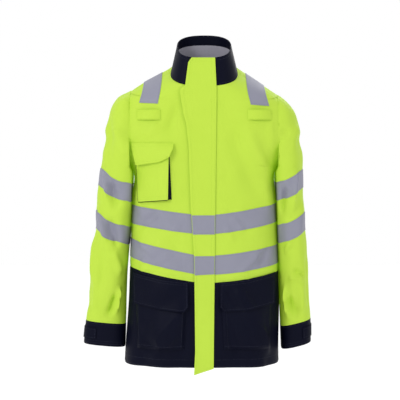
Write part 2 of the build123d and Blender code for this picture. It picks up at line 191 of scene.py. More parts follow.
def along_line(a, b, line):
    """A ridge (or a valley, if the height is negative) along a line, fading out at both ends."""
    a0, b0, a1, b1, width, height = line
    da, db = a1 - a0, b1 - b0
    length = math.hypot(da, db)
    t = ((a - a0) * da + (b - b0) * db) / length
    off = ((a - a0) * db - (b - b0) * da) / length
    fade = ease(t, -0.35 * width, 0.25 * length) * (1 - ease(t, 0.7 * length, length + 0.35 * width))
    return height * fade * np.exp(-(off / width) ** 2)


# from x and height, to x and height, half width, how far the cloth comes out
FRONT_FOLDS = [
    (-70, 700, -100, 610, 13, -2.2), (100, 640, 182, 470, 20, 3.4), (70, 640, 150, 430, 24, -2.4),
    (178, 660, 192, 560, 12, 4.0), (150, 500, 186, 400, 16, 2.6), (60, 420, 130, 330, 18, -1.8),
    (52, 372, 82, 330, 7, 1.6), (86, 268, 130, 214, 7, 1.6), (-150, 400, -60, 300, 20, -2.0),
    (-186, 470, -160, 380, 14, 2.4), (-110, 340, -62, 372, 8, 1.2), (-170, 250, -150, 290, 8, 1.4),
    (-60, 330, -170, 250, 16, -1.4), (70, 220, 190, 40, 20, 4.2), (44, 190, 100, 10, 18, -3.4),
    (-46, 160, -150, 0, 18, 3.4), (-60, 200, -190, 90, 22, -2.6), (110, 150, 196, 70, 14, -2.2),
    (-120, 640, -160, 600, 14, 1.4), (60, 690, 170, 705, 16, 1.2), (96, 250, 150, 306, 9, 2.2),
    (140, 262, 186, 330, 9, -2.0), (70, 400, 112, 352, 8, 1.8), (-84, 300, -176, 246, 9, 2.2),
    (-120, 410, -186, 362, 10, -2.2), (-176, 330, -120, 286, 9, 1.8), (60, 210, 96, 150, 12, -3.0),
    (120, 100, 190, 24, 12, 3.0), (-90, 40, -180, 70, 14, -2.6), (-52, 90, -120, 60, 12, 2.4),
]
BACK_FOLDS = [
    (-150, 640, -40, 470, 26, 4.2), (150, 640, 60, 450, 26, 4.2), (0, 640, 10, 380, 30, -3.0),
    (-120, 420, 60, 380, 20, 2.6), (140, 400, -40, 350, 18, -2.2), (-160, 210, -130, 0, 22, 4.6),
    (-60, 200, -70, 0, 24, -3.6), (30, 210, 20, 0, 22, 4.2), (110, 200, 120, 0, 24, -3.8),
    (170, 200, 180, 0, 18, 3.2), (-100, 700, 100, 700, 18, 2.2),
]


FOLD_DEPTH = 2.5
LEFT_DROOP = 7.0
RIGHT_RAISE = 3.0


def body_folds(points):
    x, y, z = points[..., 0], points[..., 1], points[..., 2]
    front = ease(-y, -10, 40)
    total = ripple(x + y * 0.4, z, 11, 190, 1.1) + ripple(x - y * 0.5, z, 12, 80, 0.35)
    for line in FRONT_FOLDS:
        total = total + along_line(x, z, line) * front
    for line in BACK_FOLDS:
        total = total + along_line(x, z, line) * (1 - front)
    skirt = (1 - ease(z, 60, 250)) * (1 - ease(np.abs(x), 150, 190))
    total = total + skirt * 1.8 * np.sin(x / 21.0 + 0.8) * np.sign(-y)
    flare = (1 - ease(z, 0, 190)) * (5.0 * ease(-x, 130, 200) - 8.0 * ease(x, 130, 200))
    strip = ease(np.abs(x), 26, 66) + (1 - front)
    side = 1 - 0.95 * ease(np.abs(x), 160, 192) * (1 - ease(z, 500, 540))
    armhole = 1 - ease(z, 515, 540) * ease(np.abs(x), 150, ARMHOLE - 2)
    neck = 1 - 0.8 * ease(z, 650, 740)
    return np.clip(FOLD_DEPTH * total * np.clip(strip, 0, 1) * side * armhole * neck, -10.0, 8.5) + flare


def shoulder_droop(points):
    """The wearer's left shoulder hangs a few millimetres lower than the right one."""
    x, z = points[..., 0], points[..., 2]
    drop = (LEFT_DROOP * ease(x, 60, 200) - RIGHT_RAISE * ease(-x, 90, 200)) * ease(z, 560, 690)
    return points - np.stack([0 * drop, 0 * drop, drop], -1)


def body(height, turn, lift=0.0):
    flat = section_point(BODY, height, turn, lift)
    return shoulder_droop(section_point(BODY, height, turn, lift + body_folds(flat)))


# %% [markdown]
# ## Sleeves on the same form
# Below the underarm a sleeve is its own flattened tube, which hangs against the side of the coat.
# Above it the shoulder is one form cut in two by the armhole seam, so the sleeve head takes its
# sections from the body, and its edge is pulled to exactly where the body's cut edge is.


# %% Sleeve surface
def armhole_cut(height, lift=0.0):
    """Half depth, middle, tilt and height slope of the body where the armhole plane cuts it."""
    half, front, back, tilt, climb = read_table(BODY, height)
    share = np.clip(ARMHOLE / (half + lift), 0, 1)
    inner = (1 - share ** SQUARENESS) ** (1 / SQUARENESS)
    depth = ((back - front) / 2 / np.cos(np.radians(tilt)) + lift) * inner
    return depth, (front + back) / 2, np.radians(tilt), climb


def head_top():
    low, high = 716.0, 738.0
    for step in range(40):
        middle = (low + high) / 2
        wide = read_table(BODY, np.array(middle))[0] > ARMHOLE
        low, high = (middle, high) if wide else (low, middle)
    return low


HEAD_TOP = head_top()
ARMHOLE_FOOT = np.interp(ARMHOLE, [189.0, 222.0], [ARMPIT, 560.0])
print("armhole from", round(float(ARMHOLE_FOOT)), "to", round(HEAD_TOP), "mm above the hem")

# from turn in degrees and height, to turn and height, half width in mm, how far the cloth comes out;
# turn 0 is the outer side, -90 the front, 180 the side against the body
SLEEVE_FOLDS = {
    "right": [
        (-30, 660, -62, 520, 17, -3.2), (-62, 640, -100, 540, 14, 3.0), (-50, 520, -74, 440, 9, 4.2),
        (-74, 500, -96, 420, 10, -4.4), (-40, 420, -84, 330, 11, 4.0), (-78, 400, -112, 310, 12, -5.4),
        (-20, 340, -40, 200, 16, 2.6), (-70, 330, -80, 190, 15, -2.6), (-112, 190, -92, 120, 8, -6.0),
        (-126, 210, -112, 130, 8, 4.4), (-96, 300, -130, 240, 12, 4.2), (-50, 240, -60, 120, 16, 2.2),
        (40, 560, 90, 420, 20, 3.4), (60, 400, 110, 320, 14, -3.6), (60, 300, 100, 200, 14, 3.0),
        (20, 250, 40, 130, 16, -2.4), (100, 380, 60, 330, 12, 3.4),
    ],
    "left": [
        (-30, 650, -70, 560, 16, 2.6), (-70, 640, -120, 560, 12, -5.2), (-100, 600, -128, 530, 10, 4.2),
        (-58, 520, -92, 400, 10, 3.4), (-96, 480, -124, 400, 12, -5.0), (-40, 440, -70, 330, 18, 2.4),
        (-96, 250, -50, 232, 8, -3.4), (-110, 232, -60, 222, 7, 3.0), (-90, 330, -120, 300, 8, 3.2),
        (-110, 190, -84, 110, 10, -6.0), (-128, 220, -112, 120, 8, 4.4), (-70, 210, -76, 120, 12, 2.6),
        (-30, 300, -36, 120, 18, -2.0), (40, 560, 90, 420, 20, 3.4), (60, 400, 110, 320, 14, -3.6),
        (60, 300, 100, 200, 14, 3.0), (20, 250, 40, 130, 16, -2.4), (100, 380, 60, 330, 12, 3.4),
    ],
}
MM_PER_DEGREE = 1.25
HEAD_SWELL = {"right": 7.0, "left": 0.0}


def sleeve_table(side):
    """The sleeve's own rows, and above them rows of the part of the body outside the armhole."""
    rows = [list(row) + [0.0, 0.0] for row in SLEEVES[side]]
    for share in np.sin(np.linspace(0, 1, 12) * math.pi / 2):
        height = HEAD_JOINS + (HEAD_TOP - HEAD_JOINS) * share
        wide = read_table(BODY, np.array(height))[0]
        cut, middle, tilt, climb = armhole_cut(np.array(height))
        rows.append([height, ARMHOLE, max(float(wide) - ARMHOLE, 0.1), max(float(cut), 0.1), float(middle),
                     float(tilt), float(climb)])
    return np.array(rows)


SLEEVE_ROWS = {side: sleeve_table(side) for side in SLEEVES}


def sleeve_sections(side, height):
    return read_table(SLEEVE_ROWS[side], height)


def sleeve_folds(side, height, turn):
    degrees = np.degrees(turn)
    around = degrees * MM_PER_DEGREE
    total = ripple(around, height, 31 if side == "right" else 32, 150, 1.0)
    total = total + ripple(around, height, 33 if side == "right" else 34, 60, 0.4)
    for a0, b0, a1, b1, width, deep in SLEEVE_FOLDS[side]:
        line = (a0 * MM_PER_DEGREE, b0, a1 * MM_PER_DEGREE, b1, width, deep)
        total = total + along_line(around, height, line)
    head = 1 - 0.7 * ease(height, 620, 700)
    wrist = ease(height, 112, 150) * 0.85 + 0.15
    return FOLD_DEPTH * total * head * wrist


# middle and half width in degrees around, low and high end, drop in mm: the cloth slips down past a fold
SLIPS = {"right": [(-62, 10, 300, 560, 7.0)], "left": [(-64, 16, 300, 560, 4.0)]}


def sleeve_slip(side, height, turn):
    degrees = np.degrees(turn)
    total = 0.0
    for middle, width, low, high, drop in SLIPS[side]:
        t = (middle - degrees) / width
        here = ease(height, low, low + 50) * (1 - ease(height, high - 60, high))
        here = here * (1 - ease(-degrees, 90, 125))
        shape = np.tanh(t) + 0.35 * np.exp(-(t + 1.6) ** 2)
        total = total + drop * here * shape * (1 - ease(degrees, -30, 0))
    return total


def side_line(height):
    return 210.5 + (191.5 - 210.5) * height / ARMPIT


def armhole_turn(side, height):
    """How far round the sleeve its edge is: half a turn where it is a closed tube."""
    depth = sleeve_sections(side, height)[2]
    cut = armhole_cut(height)[0]
    share = np.clip(cut / depth, 0, 1) ** (SQUARENESS / 2)
    return math.pi - np.arcsin(np.clip(share, 0, 1)) * ease(height, ARMHOLE_FOOT - 1, ARMHOLE_FOOT + 1)


def sleeve(side, height, turn, lift=0.0, folds=True):
    sign = SIGN[side]
    centre, half, depth, middle, tilt, climb = sleeve_sections(side, height)
    edge = armhole_turn(side, height)
    open_here = ease(height, ARMHOLE_FOOT, ARMHOLE_FOOT + 12)
    near_edge = 1 - ease((edge - np.abs(turn)) * depth, 0, 34)
    swell = HEAD_SWELL[side] * ease(height, 540, 600) * (1 - ease(height, 700, HEAD_TOP))
    lift = lift + swell * (1 - near_edge)
    off = lift
    if folds:
        inner_side = 1 - 0.8 * ease(np.abs(turn), 2.3, 2.8)
        off = lift + sleeve_folds(side, height, turn) * (1 - near_edge * open_here) * inner_side
    along = (depth + off) * rounded(np.sin(turn))
    out = centre + (half + off) * rounded(np.cos(turn))
    y = middle + along * np.cos(tilt)
    slope = math.tan(math.radians(CUFF_TILT[side])) * (1 - ease(height, 120, 420))
    z = height + climb * off + along * np.sin(tilt) + slope * (out - centre) - sleeve_slip(side, height, turn)
    wall = side_line(z) + 0.6
    wall = wall + (ARMHOLE - wall) * ease(height, ARMHOLE_FOOT - 16, ARMHOLE_FOOT)
    out = np.where(height < HEAD_JOINS, soft_max(out, wall - np.minimum(lift, 0), 2.0), out)
    cut, body_middle, body_tilt, body_climb = armhole_cut(height, lift)
    edge_y = body_middle + np.sign(turn) * cut * np.cos(body_tilt)
    edge_z = height + body_climb * lift + np.sign(turn) * cut * np.sin(body_tilt)
    pull = near_edge * open_here
    out = out + (ARMHOLE - out) * pull
    y = y + (edge_y - y) * pull
    z = z + (edge_z - z) * pull
    return shoulder_droop(np.stack(np.broadcast_arrays(sign * out, y, z), -1))


# %% [markdown]
# ## A sheet of cloth
# A panel is a grid of points on the form. Rows and columns stay evenly spaced along the cloth, because
# a weave drawn on an uneven grid looks stretched. Solidify gives the cloth its thickness towards the
# inside, and a map in metres of cloth lets the materials draw thread at its real size.


# %% Cloth helper
def new_object(name, vertices, faces):
    mesh = bpy.data.meshes.new(name)
    mesh.from_pydata(vertices, [], faces)
    mesh.update()
    piece = bpy.data.objects.new(name, mesh)
    bpy.context.scene.collection.objects.link(piece)
    return piece


def activate(piece):
    bpy.ops.object.select_all(action="DESELECT")
    piece.select_set(True)
    bpy.context.view_layer.objects.active = piece


def grid_faces(rows, columns, closed):
    index = np.arange(rows * columns).reshape(rows, columns)
    if closed:
        index = np.concatenate([index, index[:, :1]], 1)
    return np.stack([index[:-1, :-1], index[:-1, 1:], index[1:, 1:], index[1:, :-1]], -1).reshape(-1, 4)


def cloth_map(points, closed):
    """Metres along the cloth, from the middle row and the middle column of the grid."""
    steps_u = np.linalg.norm(np.diff(points, axis=1), axis=2).mean(0)
    steps_v = np.linalg.norm(np.diff(points, axis=0), axis=2).mean(1)
    u = np.concatenate([[0], np.cumsum(steps_u)])
    v = np.concatenate([[0], np.cumsum(steps_v)])
    if closed:
        u = np.append(u, u[-1] + steps_u.mean())
    return u * MM, v * MM


def cloth(name, points, material, thickness=0.9, closed=False, outward=(0, -1, 0)):
    rows, columns = points.shape[:2]
    faces = grid_faces(rows, columns, closed)
    flat = points.reshape(-1, 3)
    corner = flat[faces]
    normal = np.cross(corner[:, 2] - corner[:, 0], corner[:, 3] - corner[:, 1])
    if callable(outward):
        pointing = (normal * outward(corner.mean(1))).sum()
    else:
        pointing = (normal * np.array(outward)).sum()
    u, v = cloth_map(points, closed)
    column = np.tile(np.arange(columns - (not closed)), rows - 1)
    row = np.repeat(np.arange(rows - 1), columns - (not closed))
    uv = np.stack([np.stack([u[column + a], v[row + b]], -1) for a, b in ((0, 0), (1, 0), (1, 1), (0, 1))], 1)
    if pointing < 0:
        faces, uv = faces[:, ::-1], uv[:, ::-1]
    piece = new_object(name, to_frame(flat).tolist(), faces.tolist())
    layer = piece.data.uv_layers.new(name="cloth")
    layer.data.foreach_set("uv", uv.reshape(-1).astype(np.float32))
    piece.data.materials.append(material)
    activate(piece)
    solid = piece.modifiers.new("thickness", "SOLIDIFY")
    solid.thickness = thickness * MM
    solid.offset = -1.0
    solid.use_even_offset = False
    bpy.ops.object.modifier_apply(modifier=solid.name)
    bpy.ops.object.shade_smooth_by_angle(angle=math.radians(50))
    return piece


def hang(piece, body_name, node=None):
    """Hangs the piece on the body that carries it, or, given a bend, only fixes it in place; hides the frame
    part it replaces.
    """
    if isinstance(body_name, tuple):
        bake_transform(piece)
    else:
        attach(piece, body_name)
    if node:
        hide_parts(node)
    return piece


# %% [markdown]
# ## Stitches
# A machine stitch is a short raised lozenge of thread, and a seam is a row of them a few millimetres from
# the edge. Each is eight faces, laid along a line of the sheet that it holds. They are 4.2 mm apart, which
# is more than the real pitch, so that a row still reads from a distance.

# %% Stitch helper
STITCH_PITCH = 4.2
STITCH_LONG = 1.45
STITCH_WIDE = 0.42
STITCH_PROUD = 0.38
ALL_EDGES = ("bottom", "top", "start", "end")
seams = {}


def sheet_line(points, edge, inset):
    """A line of the sheet at an inset from one of its edges, and the sheet's two directions there."""
    if edge in ("start", "end"):
        points = points.transpose(1, 0, 2)
    if edge in ("top", "end"):
        points = points[::-1]
    rows = np.linalg.norm(np.diff(points, axis=0), axis=2).mean(1)
    run = np.concatenate([[0], np.cumsum(rows)])
    row = int(np.clip(np.searchsorted(run, inset) - 1, 0, len(rows) - 1))
    share = (inset - run[row]) / rows[row]
    line = points[row] + (points[row + 1] - points[row]) * share
    return line, points[row + 1] - points[row]


def sew(group, points, edges, outward=(0, -1, 0)):
    """Adds rows of stitches to a group; edges are pairs of an edge and its inset in mm."""
    for edge, inset in edges:
        line, across = sheet_line(points, edge, inset)
        run = np.concatenate([[0], np.cumsum(np.linalg.norm(np.diff(line, axis=0), axis=1))])
        at = np.arange(STITCH_PITCH, run[-1] - STITCH_PITCH / 2, STITCH_PITCH)
        if len(at) == 0:
            continue
        centre = np.stack([np.interp(at, run, line[:, axis]) for axis in range(3)], -1)
        ahead = np.stack([np.interp(at + 0.5, run, line[:, axis]) for axis in range(3)], -1) - centre
        side = np.stack([np.interp(at, run, across[:, axis]) for axis in range(3)], -1)
        ahead = ahead / np.linalg.norm(ahead, axis=1)[:, None]
        up = np.cross(ahead, side)
        up = up / np.linalg.norm(up, axis=1)[:, None]
        facing = outward(centre) if callable(outward) else np.array(outward, float)
        up = up * np.sign((up * facing).sum())
        side = np.cross(up, ahead)
        corners = [centre - ahead * STITCH_LONG, centre + side * STITCH_WIDE, centre - side * STITCH_WIDE,
                   centre + up * STITCH_PROUD, centre - up * 0.25, centre + ahead * STITCH_LONG]
        seams.setdefault(group, []).append(np.stack(corners, 1))


STITCH_FACES = np.array([
    (0, 1, 3), (0, 3, 2), (0, 2, 4), (0, 4, 1), (5, 3, 1), (5, 2, 3), (5, 4, 2), (5, 1, 4),
])


def make_stitches(group, material, body_name):
    corners = np.concatenate(seams[group])
    faces = (np.arange(len(corners))[:, None, None] * 6 + STITCH_FACES[None]).reshape(-1, 3)
    piece = new_object("stitches_" + group, to_frame(corners.reshape(-1, 3)).tolist(), faces.tolist())
    piece.data.materials.append(material)
    if isinstance(body_name, tuple):
        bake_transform(piece)
    else:
        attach(piece, body_name)
    print(piece.name, len(corners), "stitches")


# %% [markdown]
# ## Materials
# The shell is woven polyester coated against rain: a fine basket weave, dyed fluorescent, with a soft
# low shine. The tape is cloth covered with tiny glass beads, so it is an even silver grey. One
# function turns the sRGB colours that people read off a swatch into the linear values Blender needs.


# %% Node helpers
def linear(swatch):
    values = [int(swatch[i:i + 2], 16) / 255 for i in (1, 3, 5)]
    return [v / 12.92 if v <= 0.04045 else ((v + 0.055) / 1.055) ** 2.4 for v in values] + [1.0]


def node(material, kind, settings=None, **links):
    """Adds a node. Settings are its own properties, and links are inputs: a value or another output."""
    made = material.node_tree.nodes.new(kind)
    for key, value in (settings or {}).items():
        setattr(made, key, value)
    for key, value in links.items():
        index = int(key[1:]) if key[0] == "i" and key[1:].isdigit() else key.replace("_", " ")
        if isinstance(value, bpy.types.NodeSocket):
            material.node_tree.links.new(value, made.inputs[index])
        else:
            made.inputs[index].default_value = value
    return made


def start_material(name):
    material = bpy.data.materials.new(name)
    material.use_nodes = True
    shader = material.node_tree.nodes["Principled BSDF"]
    return material, shader


def connect(material, output, shader, socket):
    material.node_tree.links.new(output, shader.inputs[socket])


# %% [markdown]
# A woven cloth is two sets of threads. Two waves, across and along the cloth, stand for them, and their
# product gives the little hills where a thread comes to the top. A slow noise changes the colour a
# little from place to place, as handling and the coating do. The thread pitch is drawn at 1.2 mm, twice
# the real one, because the real one is finer than a picture of a whole coat can show.


# %% Woven cloth
PAINTED_GLOW_COLOUR = "#A8E800"      # painted glow: a constant emission for the dye's fluorescence, which also lifts the shaded folds


def woven(name, colour, shade, pitch=1.2, rough=0.55, bump=0.25, sheen=0.2, spec=0.35, painted_glow=0.0, patchy=0.5):
    material, shader = start_material(name)
    place = node(material, "ShaderNodeUVMap", {"uv_map": "cloth"}).outputs["UV"]
    turns = 1000 / pitch / (2 * math.pi) * 0.5
    warp = node(material, "ShaderNodeTexWave", {"bands_direction": "X", "wave_profile": "SIN"},
                Vector=place, Scale=turns, Distortion=0.4, Detail=1.0)
    weft = node(material, "ShaderNodeTexWave", {"bands_direction": "Y", "wave_profile": "SIN"},
                Vector=place, Scale=turns, Distortion=0.4, Detail=1.0)
    weave = node(material, "ShaderNodeMath", {"operation": "MULTIPLY"},
                 i0=warp.outputs["Fac"], i1=weft.outputs["Fac"])
    patches = node(material, "ShaderNodeTexNoise", {}, Vector=place, Scale=9.0, Detail=3.0, Roughness=0.6)
    grain = node(material, "ShaderNodeTexNoise", {}, Vector=place, Scale=420.0, Detail=2.0)
    mixed = node(material, "ShaderNodeMath", {"operation": "MULTIPLY_ADD"},
                 i0=patches.outputs["Fac"], i1=patchy, i2=0.5 - patchy / 2)
    speck = node(material, "ShaderNodeMath", {"operation": "MULTIPLY_ADD"},
                 i0=grain.outputs["Fac"], i1=0.3, i2=-0.15)
    total = node(material, "ShaderNodeMath", {"operation": "ADD"}, i0=mixed.outputs[0], i1=speck.outputs[0])
    tone = node(material, "ShaderNodeMix", {"data_type": "RGBA"},
                i0=total.outputs[0], i6=linear(shade), i7=linear(colour))
    connect(material, tone.outputs[2], shader, "Base Color")
    height = node(material, "ShaderNodeMath", {"operation": "MULTIPLY_ADD"},
                  i0=grain.outputs["Fac"], i1=0.5, i2=weave.outputs[0])
    relief = node(material, "ShaderNodeBump", {}, Strength=bump, Distance=0.0004, Height=height.outputs[0])
    connect(material, relief.outputs["Normal"], shader, "Normal")
    shader.inputs["Roughness"].default_value = rough
    shader.inputs["Specular IOR Level"].default_value = spec
    shader.inputs["Sheen Weight"].default_value = sheen
    # painted glow: a constant emission in the dye's colour, standing for its fluorescence and lifting the
    # shade in the folds
    if painted_glow:
        shader.inputs["Emission Color"].default_value = linear(PAINTED_GLOW_COLOUR)
        shader.inputs["Emission Strength"].default_value = painted_glow
    return material


# woven polyester with a matt coating: an even yellow with almost no highlight, and a painted glow that lifts
# its shaded folds
HI_VIS = woven("coated_polyester_oxford_fluorescent_yellow", "#B0C64A", "#A4C03C", rough=0.6, sheen=0.0,
               spec=0.1, patchy=0.4, painted_glow=0.125)
# the same cloth in navy: nearly black, with only a faint sheen on its folds
NAVY = woven("coated_polyester_oxford_navy", "#0B0D20", "#060815", rough=0.55, sheen=0.0, spec=0.06)
# thin, tightly woven taffeta: dark and a little smoother than the shell
TAFFETA = woven("polyester_taffeta_lining", "#2A2C38", "#22242F", pitch=0.8, rough=0.4, bump=0.1)
# a brushed knit: loops 2.4 mm apart, raised to a dull grey nap
KNIT = woven("brushed_tricot_collar_lining", "#A9A7B2", "#8D8B97", pitch=2.4, rough=0.85, bump=0.6,
             sheen=0.2, spec=0.1)
# cloth covered in glass beads: a flat silver grey, with faint blotches and a soft highlight
BEADS = woven("glass_bead_reflective_tape", "#8C8C99", "#808190", pitch=0.9, rough=0.55, bump=0.08,
              sheen=0.0, spec=0.16, patchy=0.9)
# loop tape: a deep, rough pile that takes the light evenly
HOOKS = woven("hook_and_loop_tape_navy", "#1C1E30", "#0E1020", pitch=1.8, rough=0.9, bump=1.0, sheen=0.6)
print(len(bpy.data.materials), "materials so far")


# %% Finishes without a cloth map
def plain(name, colour, shade, rough, metallic=0.0, grain=900.0, bump=0.2):
    material, shader = start_material(name)
    place = node(material, "ShaderNodeTexCoord").outputs["Object"]
    noise = node(material, "ShaderNodeTexNoise", {}, Vector=place, Scale=grain, Detail=3.0)
    tone = node(material, "ShaderNodeMix", {"data_type": "RGBA"},
                i0=noise.outputs["Fac"], i6=linear(shade), i7=linear(colour))
    connect(material, tone.outputs[2], shader, "Base Color")
    relief = node(material, "ShaderNodeBump", {}, Strength=bump, Distance=0.0003, Height=noise.outputs["Fac"])
    connect(material, relief.outputs["Normal"], shader, "Normal")
    shader.inputs["Roughness"].default_value = rough
    shader.inputs["Metallic"].default_value = metallic
    return material


# spun polyester thread: a matt round yarn, dyed near the cloth that it holds; the yellow and grey threads are
# darker than their cloth, as painted shade in the stitch dimples
THREADS = {
    "hi_vis_shell": plain("spun_polyester_thread_yellow_painted_shade", "#A9CC34", "#8CB31E", 0.7),
    "navy_shell": plain("spun_polyester_thread_navy", "#1E2136", "#14172A", 0.7),
    "reflective_tape": plain("spun_polyester_thread_grey_painted_shade", "#75768A", "#666779", 0.7),
}

# %% [markdown]
# ## Body panels
# The shell has six panels: two fronts and a back, each yellow above and navy below a seam that dips
# towards the front closing. Each panel is a grid that runs from its bottom seam to its top seam and
# from its front edge to its side seam or its armhole. Its border turns in slightly, as a seam does.


# %% Where the seams are
def turn_run_table(half=200.0, depth=125.0):
    """Turns that are evenly spaced along a typical section of the body."""
    turn = np.linspace(-math.pi / 2, math.pi / 2, 2001)
    x = half * rounded(np.cos(turn))
    y = depth * rounded(np.sin(turn))
    run = np.concatenate([[0], np.cumsum(np.hypot(np.diff(x), np.diff(y)))])
    return turn, run / run[-1]


TURN_TABLE, RUN_TABLE = turn_run_table()


def spread(start, end, share):
    """A turn between start and end, a share of the cloth's way along."""
    a = np.interp(start, TURN_TABLE, RUN_TABLE)
    b = np.interp(end, TURN_TABLE, RUN_TABLE)
    return np.interp(a + (b - a) * share, RUN_TABLE, TURN_TABLE)


CURVE = {"right": 1.25, "left": 1.5}


def front_rise(x, height, climb):
    """Seams and tapes climb from the closing to each side seam; climb is (right, left) in mm."""
    reach = np.clip(np.abs(x) / ARMHOLE, 0, 1.1)
    return height + np.where(x < 0, climb[0] * reach ** CURVE["right"], climb[1] * reach ** CURVE["left"])


def side_turn(height):
    """The turn of a panel's side edge: the side seam, or the armhole where there is one."""
    return np.where(height > ARMPIT - 10, turn_at(ARMHOLE, height), 0.0)


def turn_at(x, height, lift=0.0):
    """The turn, on the left and forward of the side, where the body is x from the centre line."""
    half = read_table(BODY, height)[0] + lift
    share = np.clip(np.abs(x) / half, 0, 1)
    return -np.arccos(share ** (SQUARENESS / 2))


def panel_rows(bottom, rows):
    """Rows up a yellow panel, with one exactly where the armhole ends and more of them close to it."""
    under = rows * 3 // 4
    first = np.linspace(0, 1, under)[:, None]
    first = bottom + (HEAD_TOP - bottom) * (0.7 * first + 0.3 * np.sin(first * math.pi / 2))
    second = np.linspace(0, 1, rows - under + 1)[1:, None]
    second = HEAD_TOP + (NECK_HEIGHT - HEAD_TOP) * second + 0 * bottom
    return np.concatenate([first, second])


def body_strip(part, low, high, climb, lift, columns, rows, front_edge=6.0, seam_in=0.0):
    """A piece of the body's form between two heights, for the front left, front right or back."""
    share = np.linspace(0, 1, columns)[None, :]
    up = np.linspace(0, 1, rows)[:, None]
    if part == "back":
        climb = climb[1] + (climb[0] - climb[1]) * (1 - share)
        bottom, top = low + climb * (low > 0), (high if high >= NECK_HEIGHT else high + climb)
        height = bottom + (top - bottom) * up + 0 * share
        if high >= NECK_HEIGHT:
            height = panel_rows(bottom, rows) + 0 * share
        side = -side_turn(height)
        half_way = np.abs(share * 2 - 1)
        turn = spread(math.pi / 2 + 0 * height, side, half_way)
        turn = np.where(share > 0.5, turn, math.pi - turn)
    else:
        rough_turn = spread(turn_at(front_edge, 250.0), 0.0, share)
        x = read_table(BODY, np.array(250.0))[0] * rounded(np.cos(rough_turn)) * SIGN[part]
        bottom = front_rise(x, low, climb) if low > 0 else low + 0 * x
        top = high + 0 * x if high >= NECK_HEIGHT else front_rise(x, high, climb)
        height = bottom + (top - bottom) * up
        if high >= NECK_HEIGHT:
            height = panel_rows(bottom, rows)
        start = turn_at(front_edge, height)
        side = side_turn(height)
        turn = spread(start, side, share + 0 * up)
        if part == "right":
            turn = math.pi - turn
    dip = 0.0
    if seam_in:
        across = np.minimum(share, 1 - share) * 600 + 9 * (height > ARMPIT - 10)
        edge = np.minimum(across, np.minimum(up, 1 - up) * 500)
        dip = seam_in * (1 - ease(edge, 0, 7)) + 0.5 * seam_in * np.exp(-((edge - 9) / 3.0) ** 2) * -1
    return body(height, turn, lift - dip)


def from_middle(centres):
    return (centres - np.array([0.0, 0.0, 400.0])) * np.array([1.0, 1.0, 0.0])


NAVY_SEAM = 222.0
NAVY_RISE = (36.0, 24.0)
for part in ("right", "left", "back"):
    prefix = "back_panel" if part == "back" else "front_panel_" + part
    for level, low, high, shell, slot_name in (("lower", 0.0, NAVY_SEAM, NAVY, "navy_shell"),
                                               ("upper", NAVY_SEAM, NECK_HEIGHT, HI_VIS, "hi_vis_shell")):
        columns = 120 if part == "back" else 72
        rows = 48 if level == "lower" else 120
        points = body_strip(part, low, high, NAVY_RISE, 0.0, columns, rows, seam_in=0.8)
        node_name = prefix + "_" + level
        panel = cloth(node_name.replace("panel", "cloth"), points, shell, outward=from_middle)
        hang(panel, "coat_body", node_name)
        if level == "lower":
            sew("skirt", points, [("bottom", 4.0), ("bottom", 22.0)], from_middle)
        else:
            rows = [("bottom", 4.0), ("bottom", 9.0)]
            rows += [("start", 5.0), ("end", 5.0)] if part == "back" else [("end", 5.0)]
            sew("shell", points, rows, from_middle)

# %% [markdown]
# ## Sleeves and cuffs
# A sleeve is one grid that is a closed tube below the underarm and an open sheet above it. It is sewn to
# the body at the armhole, and it lifts at the shoulder, so the cloth near the underarm has to follow
# both. A bend a hand's width long from the underarm is worked out, but the sleeve, its lining and tapes
# are only fixed in place with it, and the cuff hangs on the sleeve.


# %% Sleeve grids
UNDERARM_Z = (532.0 - 822.0) * MM
BEND_LENGTH = 0.13


def sleeve_bend(side):
    sign = SIGN[side]
    start = Vector((sign * ARMHOLE * MM, BACK - BACK_AT_HEM, UNDERARM_Z))
    end = start + Vector((sign, 0.0, -0.5)).normalized() * BEND_LENGTH
    return ("coat_body", "sleeve_" + side, start, end)


def turn_spread(columns, reach):
    """Turns around a sleeve section, evenly spaced along its cloth."""
    turn = np.linspace(-math.pi, math.pi, 2001)
    x, y = 50.0 * rounded(np.cos(turn)), 75.0 * rounded(np.sin(turn))
    run = np.concatenate([[0], np.cumsum(np.hypot(np.diff(x), np.diff(y)))])
    run = run / run[-1]
    low, high = np.interp(-reach, turn, run), np.interp(reach, turn, run)
    share = np.linspace(0, 1, columns)[None, :]
    return np.interp(low + (high - low) * share, run, turn)


def sleeve_tube(side, heights, lift, columns):
    heights = np.asarray(heights, float)[:, None]
    reach = armhole_turn(side, heights)
    return sleeve(side, heights, turn_spread(columns, reach), lift)


def sleeve_heights(low, rows):
    """Evenly spaced rows, closer together over the shoulder, where the form curves in quickly."""
    t = np.linspace(0, 1, rows)
    straight = low + (690.0 - low) * np.minimum(t / 0.82, 1)
    over = np.clip((t - 0.82) / 0.18, 0, 1)
    return straight + (HEAD_TOP - 690.0) * np.sin(over * math.pi / 2)


def around_sleeve(side):
    def outward(centres):
        heights = centres[:, 2]
        middle = np.stack([SIGN[side] * np.interp(heights, SLEEVES[side][:, 0], SLEEVES[side][:, 1]),
                           np.interp(heights, SLEEVES[side][:, 0], SLEEVES[side][:, 4]), heights], -1)
        return centres - middle
    return outward


